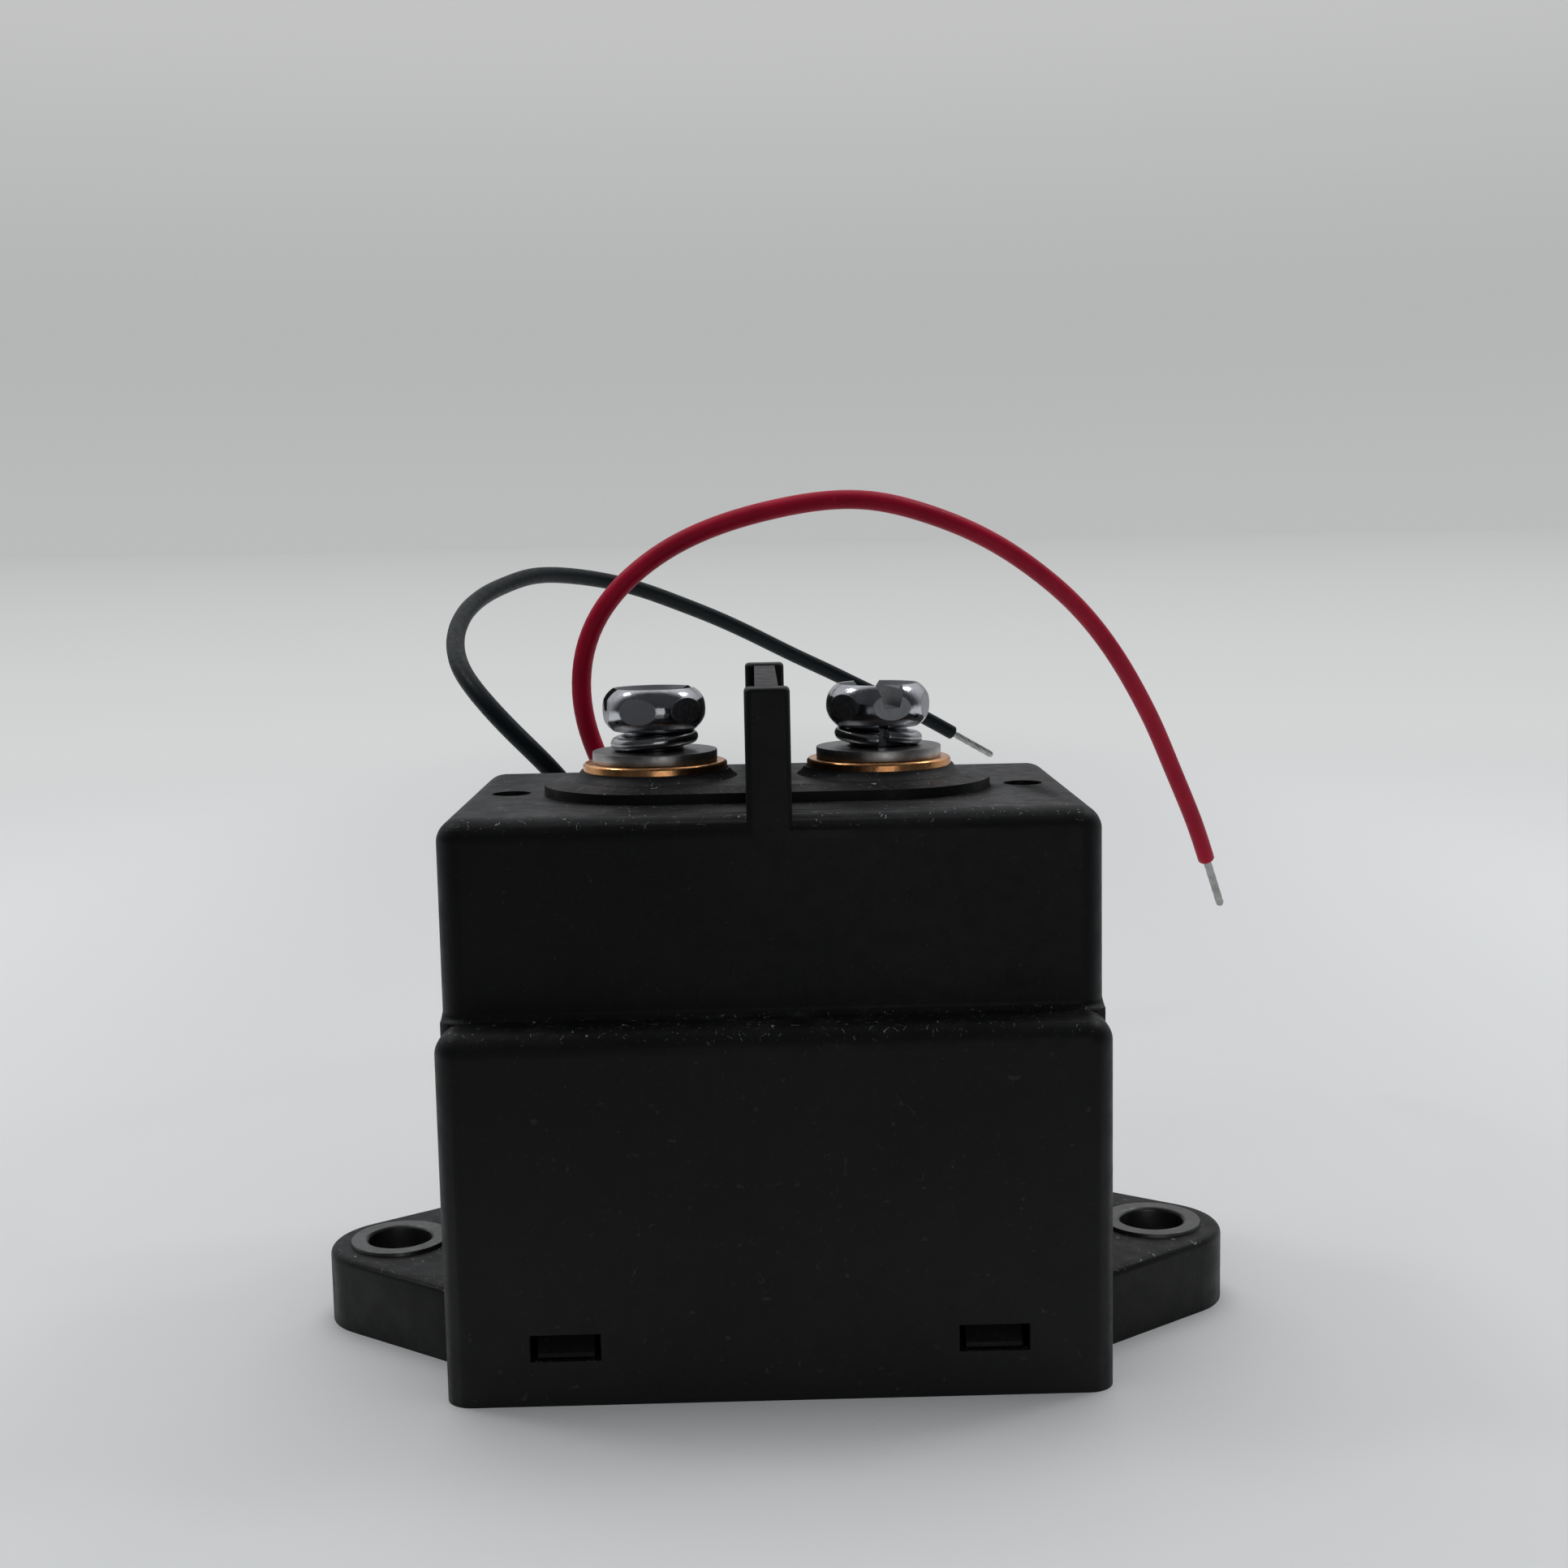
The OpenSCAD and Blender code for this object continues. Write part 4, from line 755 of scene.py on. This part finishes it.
class RELAY_OT_hardware(bpy.types.Operator):
    """Terminals, washers, bolts and bushes"""

    bl_idname = "relay.hardware"
    bl_label = "Terminal hardware"

    def execute(self, context):
        settings = context.scene.relay_hardware
        low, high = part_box("right_terminal")
        terminal_x = (low.x + high.x) / 2
        low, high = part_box("mounting_bushes")
        bush_x = high.x - (high.y - low.y) / 2
        posts = (-terminal_x, terminal_x)
        copper = turned_metal("turned_copper", tuple(settings.copper), posts, 0.16, tint=(0.66, 0.30, 0.12))
        dress(copper, "left_terminal", "right_terminal")
        # Flat washers: the last colour is painted shade, darker on their upward faces than on their sides
        washer = turned_metal(
            "washer_steel", (0.56, 0.55, 0.53), posts, 0.30, 0.2 * MM, (0.34, 0.33, 0.32), (0.20, 0.20, 0.20)
        )
        dress(washer, "flat_washers")
        spring = metal("spring_washer_steel", (0.50, 0.50, 0.51), 0.13, 0.10, 0.000002, 1400)
        self.add_spring_washers(settings, posts, spring)
        apothem = settings.across_flats / 2
        for side, x, turn in zip(("left", "right"), posts, HEAD_TURNS):
            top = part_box(f"{side}_terminal_bolt")[1].z
            form = (x, math.radians(turn), apothem, top)
            dress(bolt_steel(f"{side}_bolt_steel", tuple(settings.steel), *form), f"{side}_terminal_bolt")
        ring = turned_metal("bush_steel", (0.17, 0.17, 0.168), (-bush_x, bush_x), 0.36, 0.1 * MM)
        dress(ring, "mounting_bushes")
        for node in (
            "left_terminal", "right_terminal", "flat_washers", "left_terminal_bolt", "right_terminal_bolt",
            "mounting_bushes"
        ):
            soften_edges(node, settings.edge)
        return {"FINISHED"}

    def add_spring_washers(self, settings, posts, finish, half_gap=6, chamfer=0.06 * MM):
        """Two split rings of round wire. At a degrees from the split's middle, the wire's middle is at the
        base height plus the rise times (0.07 + 0.86 a / 360 + 0.7 sin a)"""
        low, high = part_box("spring_washers")
        wire = settings.ring_wire
        ring = (high.y - low.y - wire) / 2
        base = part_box("flat_washers")[1].z + wire / 2
        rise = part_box("left_terminal_bolt")[1].z - settings.head_height - wire / 2 - base
        turn = np.radians(np.linspace(half_gap, 360 - half_gap, 140))
        height = base + rise * (0.07 + 0.86 * turn / math.tau + 0.7 * np.sin(turn))
        angles = np.linspace(0, math.tau, 28, endpoint=False)[None]
        radii = np.full((turn.size + 2, 1), wire / 2)
        radii[[0, -1]] -= chamfer
        points = []
        for x, split in zip(posts, np.radians(SPLIT_TURNS)):
            line = np.stack([x + ring * np.cos(split - turn), ring * np.sin(split - turn), height], axis=1)
            first = line[0] + 0.1 * (line[1] - line[0])
            last = line[-1] - 0.1 * (line[-1] - line[-2])
            rings = np.concatenate([line[:1], [first], line[1:-1], [last], line[-1:]])
            points.append(tube_points(rings, radii, angles, (0, 0, 1)).reshape(-1, 3))
        faces = capped_faces(turn.size + 2, angles.size)
        count = len(points[0])
        faces += [[corner + count for corner in face] for face in faces]
        piece = add_piece("wire_spring_washers", np.concatenate(points), faces, finish)
        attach(piece, "case")
        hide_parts("spring_washers")


class RELAY_OT_inner_parts(bpy.types.Operator):
    """Finishes of the chamber, contacts, magnet system and coil inside the housing"""

    bl_idname = "relay.inner_parts"
    bl_label = "Inner parts"

    def execute(self, context):
        dress(matte_solid("white_ceramic", (0.80, 0.79, 0.75), 0.35, (0.74, 0.73, 0.70)), "ceramic_chamber")
        dress(
            metal("nickel_plate", (0.58, 0.57, 0.54), 0.22, 0.12),
            "chamber_skirt", "guide_cup", "shaft", "shaft_clip"
        )
        dress(
            matte_solid("cream_resin", (0.62, 0.58, 0.46), 0.45), "chamber_floor", "spring_collar", "bobbin"
        )
        dress(matte_solid("pale_rubber", (0.50, 0.50, 0.47), 0.7), "top_gasket")
        dress(
            matte_solid("black_rubber", (0.010, 0.010, 0.011), 0.6), "lead_grommet", "stop_pad", "damping_pad"
        )
        dress(
            metal("sintered_magnet", (0.13, 0.13, 0.14), 0.45, 0.2, 0.00003, 1500),
            "front_magnet", "rear_magnet"
        )
        dress(
            metal("soft_iron", (0.36, 0.37, 0.40), 0.34, 0.2, 0.00002, 600),
            "magnet_strap", "plunger", "fixed_core", "pole_plate", "iron_frame"
        )
        dress(metal("rolled_copper", (0.80, 0.42, 0.22), 0.25, 0.15), "contact_bridge")
        dress(
            metal("silver_alloy", (0.75, 0.74, 0.70), 0.3, 0.15), "fixed_contact_tips", "moving_contact_tips"
        )
        dress(metal("spring_wire", (0.50, 0.50, 0.50), 0.2, 0.1), "contact_spring", "return_spring")
        dress(wound_wire("enamelled_wire", (0.55, 0.20, 0.07), 0.00032), "coil_winding")
        dress(
            matte_solid("yellow_film", (0.60, 0.46, 0.08), 0.3, Coat_Weight=0.3, Coat_Roughness=0.2),
            "coil_tape"
        )
        dress(bpy.data.materials["tinned_copper"], "coil_pins")
        for node in (
            "ceramic_chamber", "bobbin", "iron_frame", "pole_plate", "contact_bridge", "lead_grommet"
        ):
            soften_edges(node, 0.12 * MM)
        self.shorten("return_spring", ARMATURE_TRAVEL, top_stands=True)
        self.shorten("contact_spring", OVERTRAVEL, top_stands=False)
        return {"FINISHED"}

    def shorten(self, node, loss, top_stands):
        """Gives a spring its own copy of its mesh; the loss and top_stands it is given are not used"""
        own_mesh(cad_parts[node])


class RELAY_PT_panel(bpy.types.Panel):
    """Lists the relay's settings and operators"""

    bl_idname = "RELAY_PT_panel"
    bl_label = "Sealed DC relay"
    bl_space_type = "VIEW_3D"
    bl_region_type = "UI"
    bl_category = "Relay"

    def draw(self, context):
        for name, kind in SETTINGS.items():
            box = self.layout.box()
            for key in kind.__annotations__:
                box.prop(getattr(context.scene, name), key)
        for operator in OPERATORS:
            self.layout.operator(operator.bl_idname)


SETTINGS = {
    "relay_stage": StageSettings,
    "relay_leads": LeadSettings,
    "relay_housing": HousingSettings,
    "relay_hardware": HardwareSettings,
}
OPERATORS = (
    RELAY_OT_stage, RELAY_OT_leads, RELAY_OT_housing, RELAY_OT_hardware, RELAY_OT_inner_parts
)


def register():
    """Registers the classes and puts the settings on the scene"""
    for kind in (*SETTINGS.values(), *OPERATORS, RELAY_PT_panel):
        bpy.utils.register_class(kind)
    for name, kind in SETTINGS.items():
        setattr(bpy.types.Scene, name, PointerProperty(type=kind))


def unregister():
    """Takes the settings and the classes away again"""
    for name in SETTINGS:
        delattr(bpy.types.Scene, name)
    for kind in (RELAY_PT_panel, *OPERATORS, *SETTINGS.values()):
        bpy.utils.unregister_class(kind)


def main():
    """Builds every piece in order"""
    register()
    bpy.ops.relay.stage()
    bpy.ops.relay.leads()
    bpy.ops.relay.housing()
    bpy.ops.relay.hardware()
    bpy.ops.relay.inner_parts()


if __name__ == "__main__":
    main()
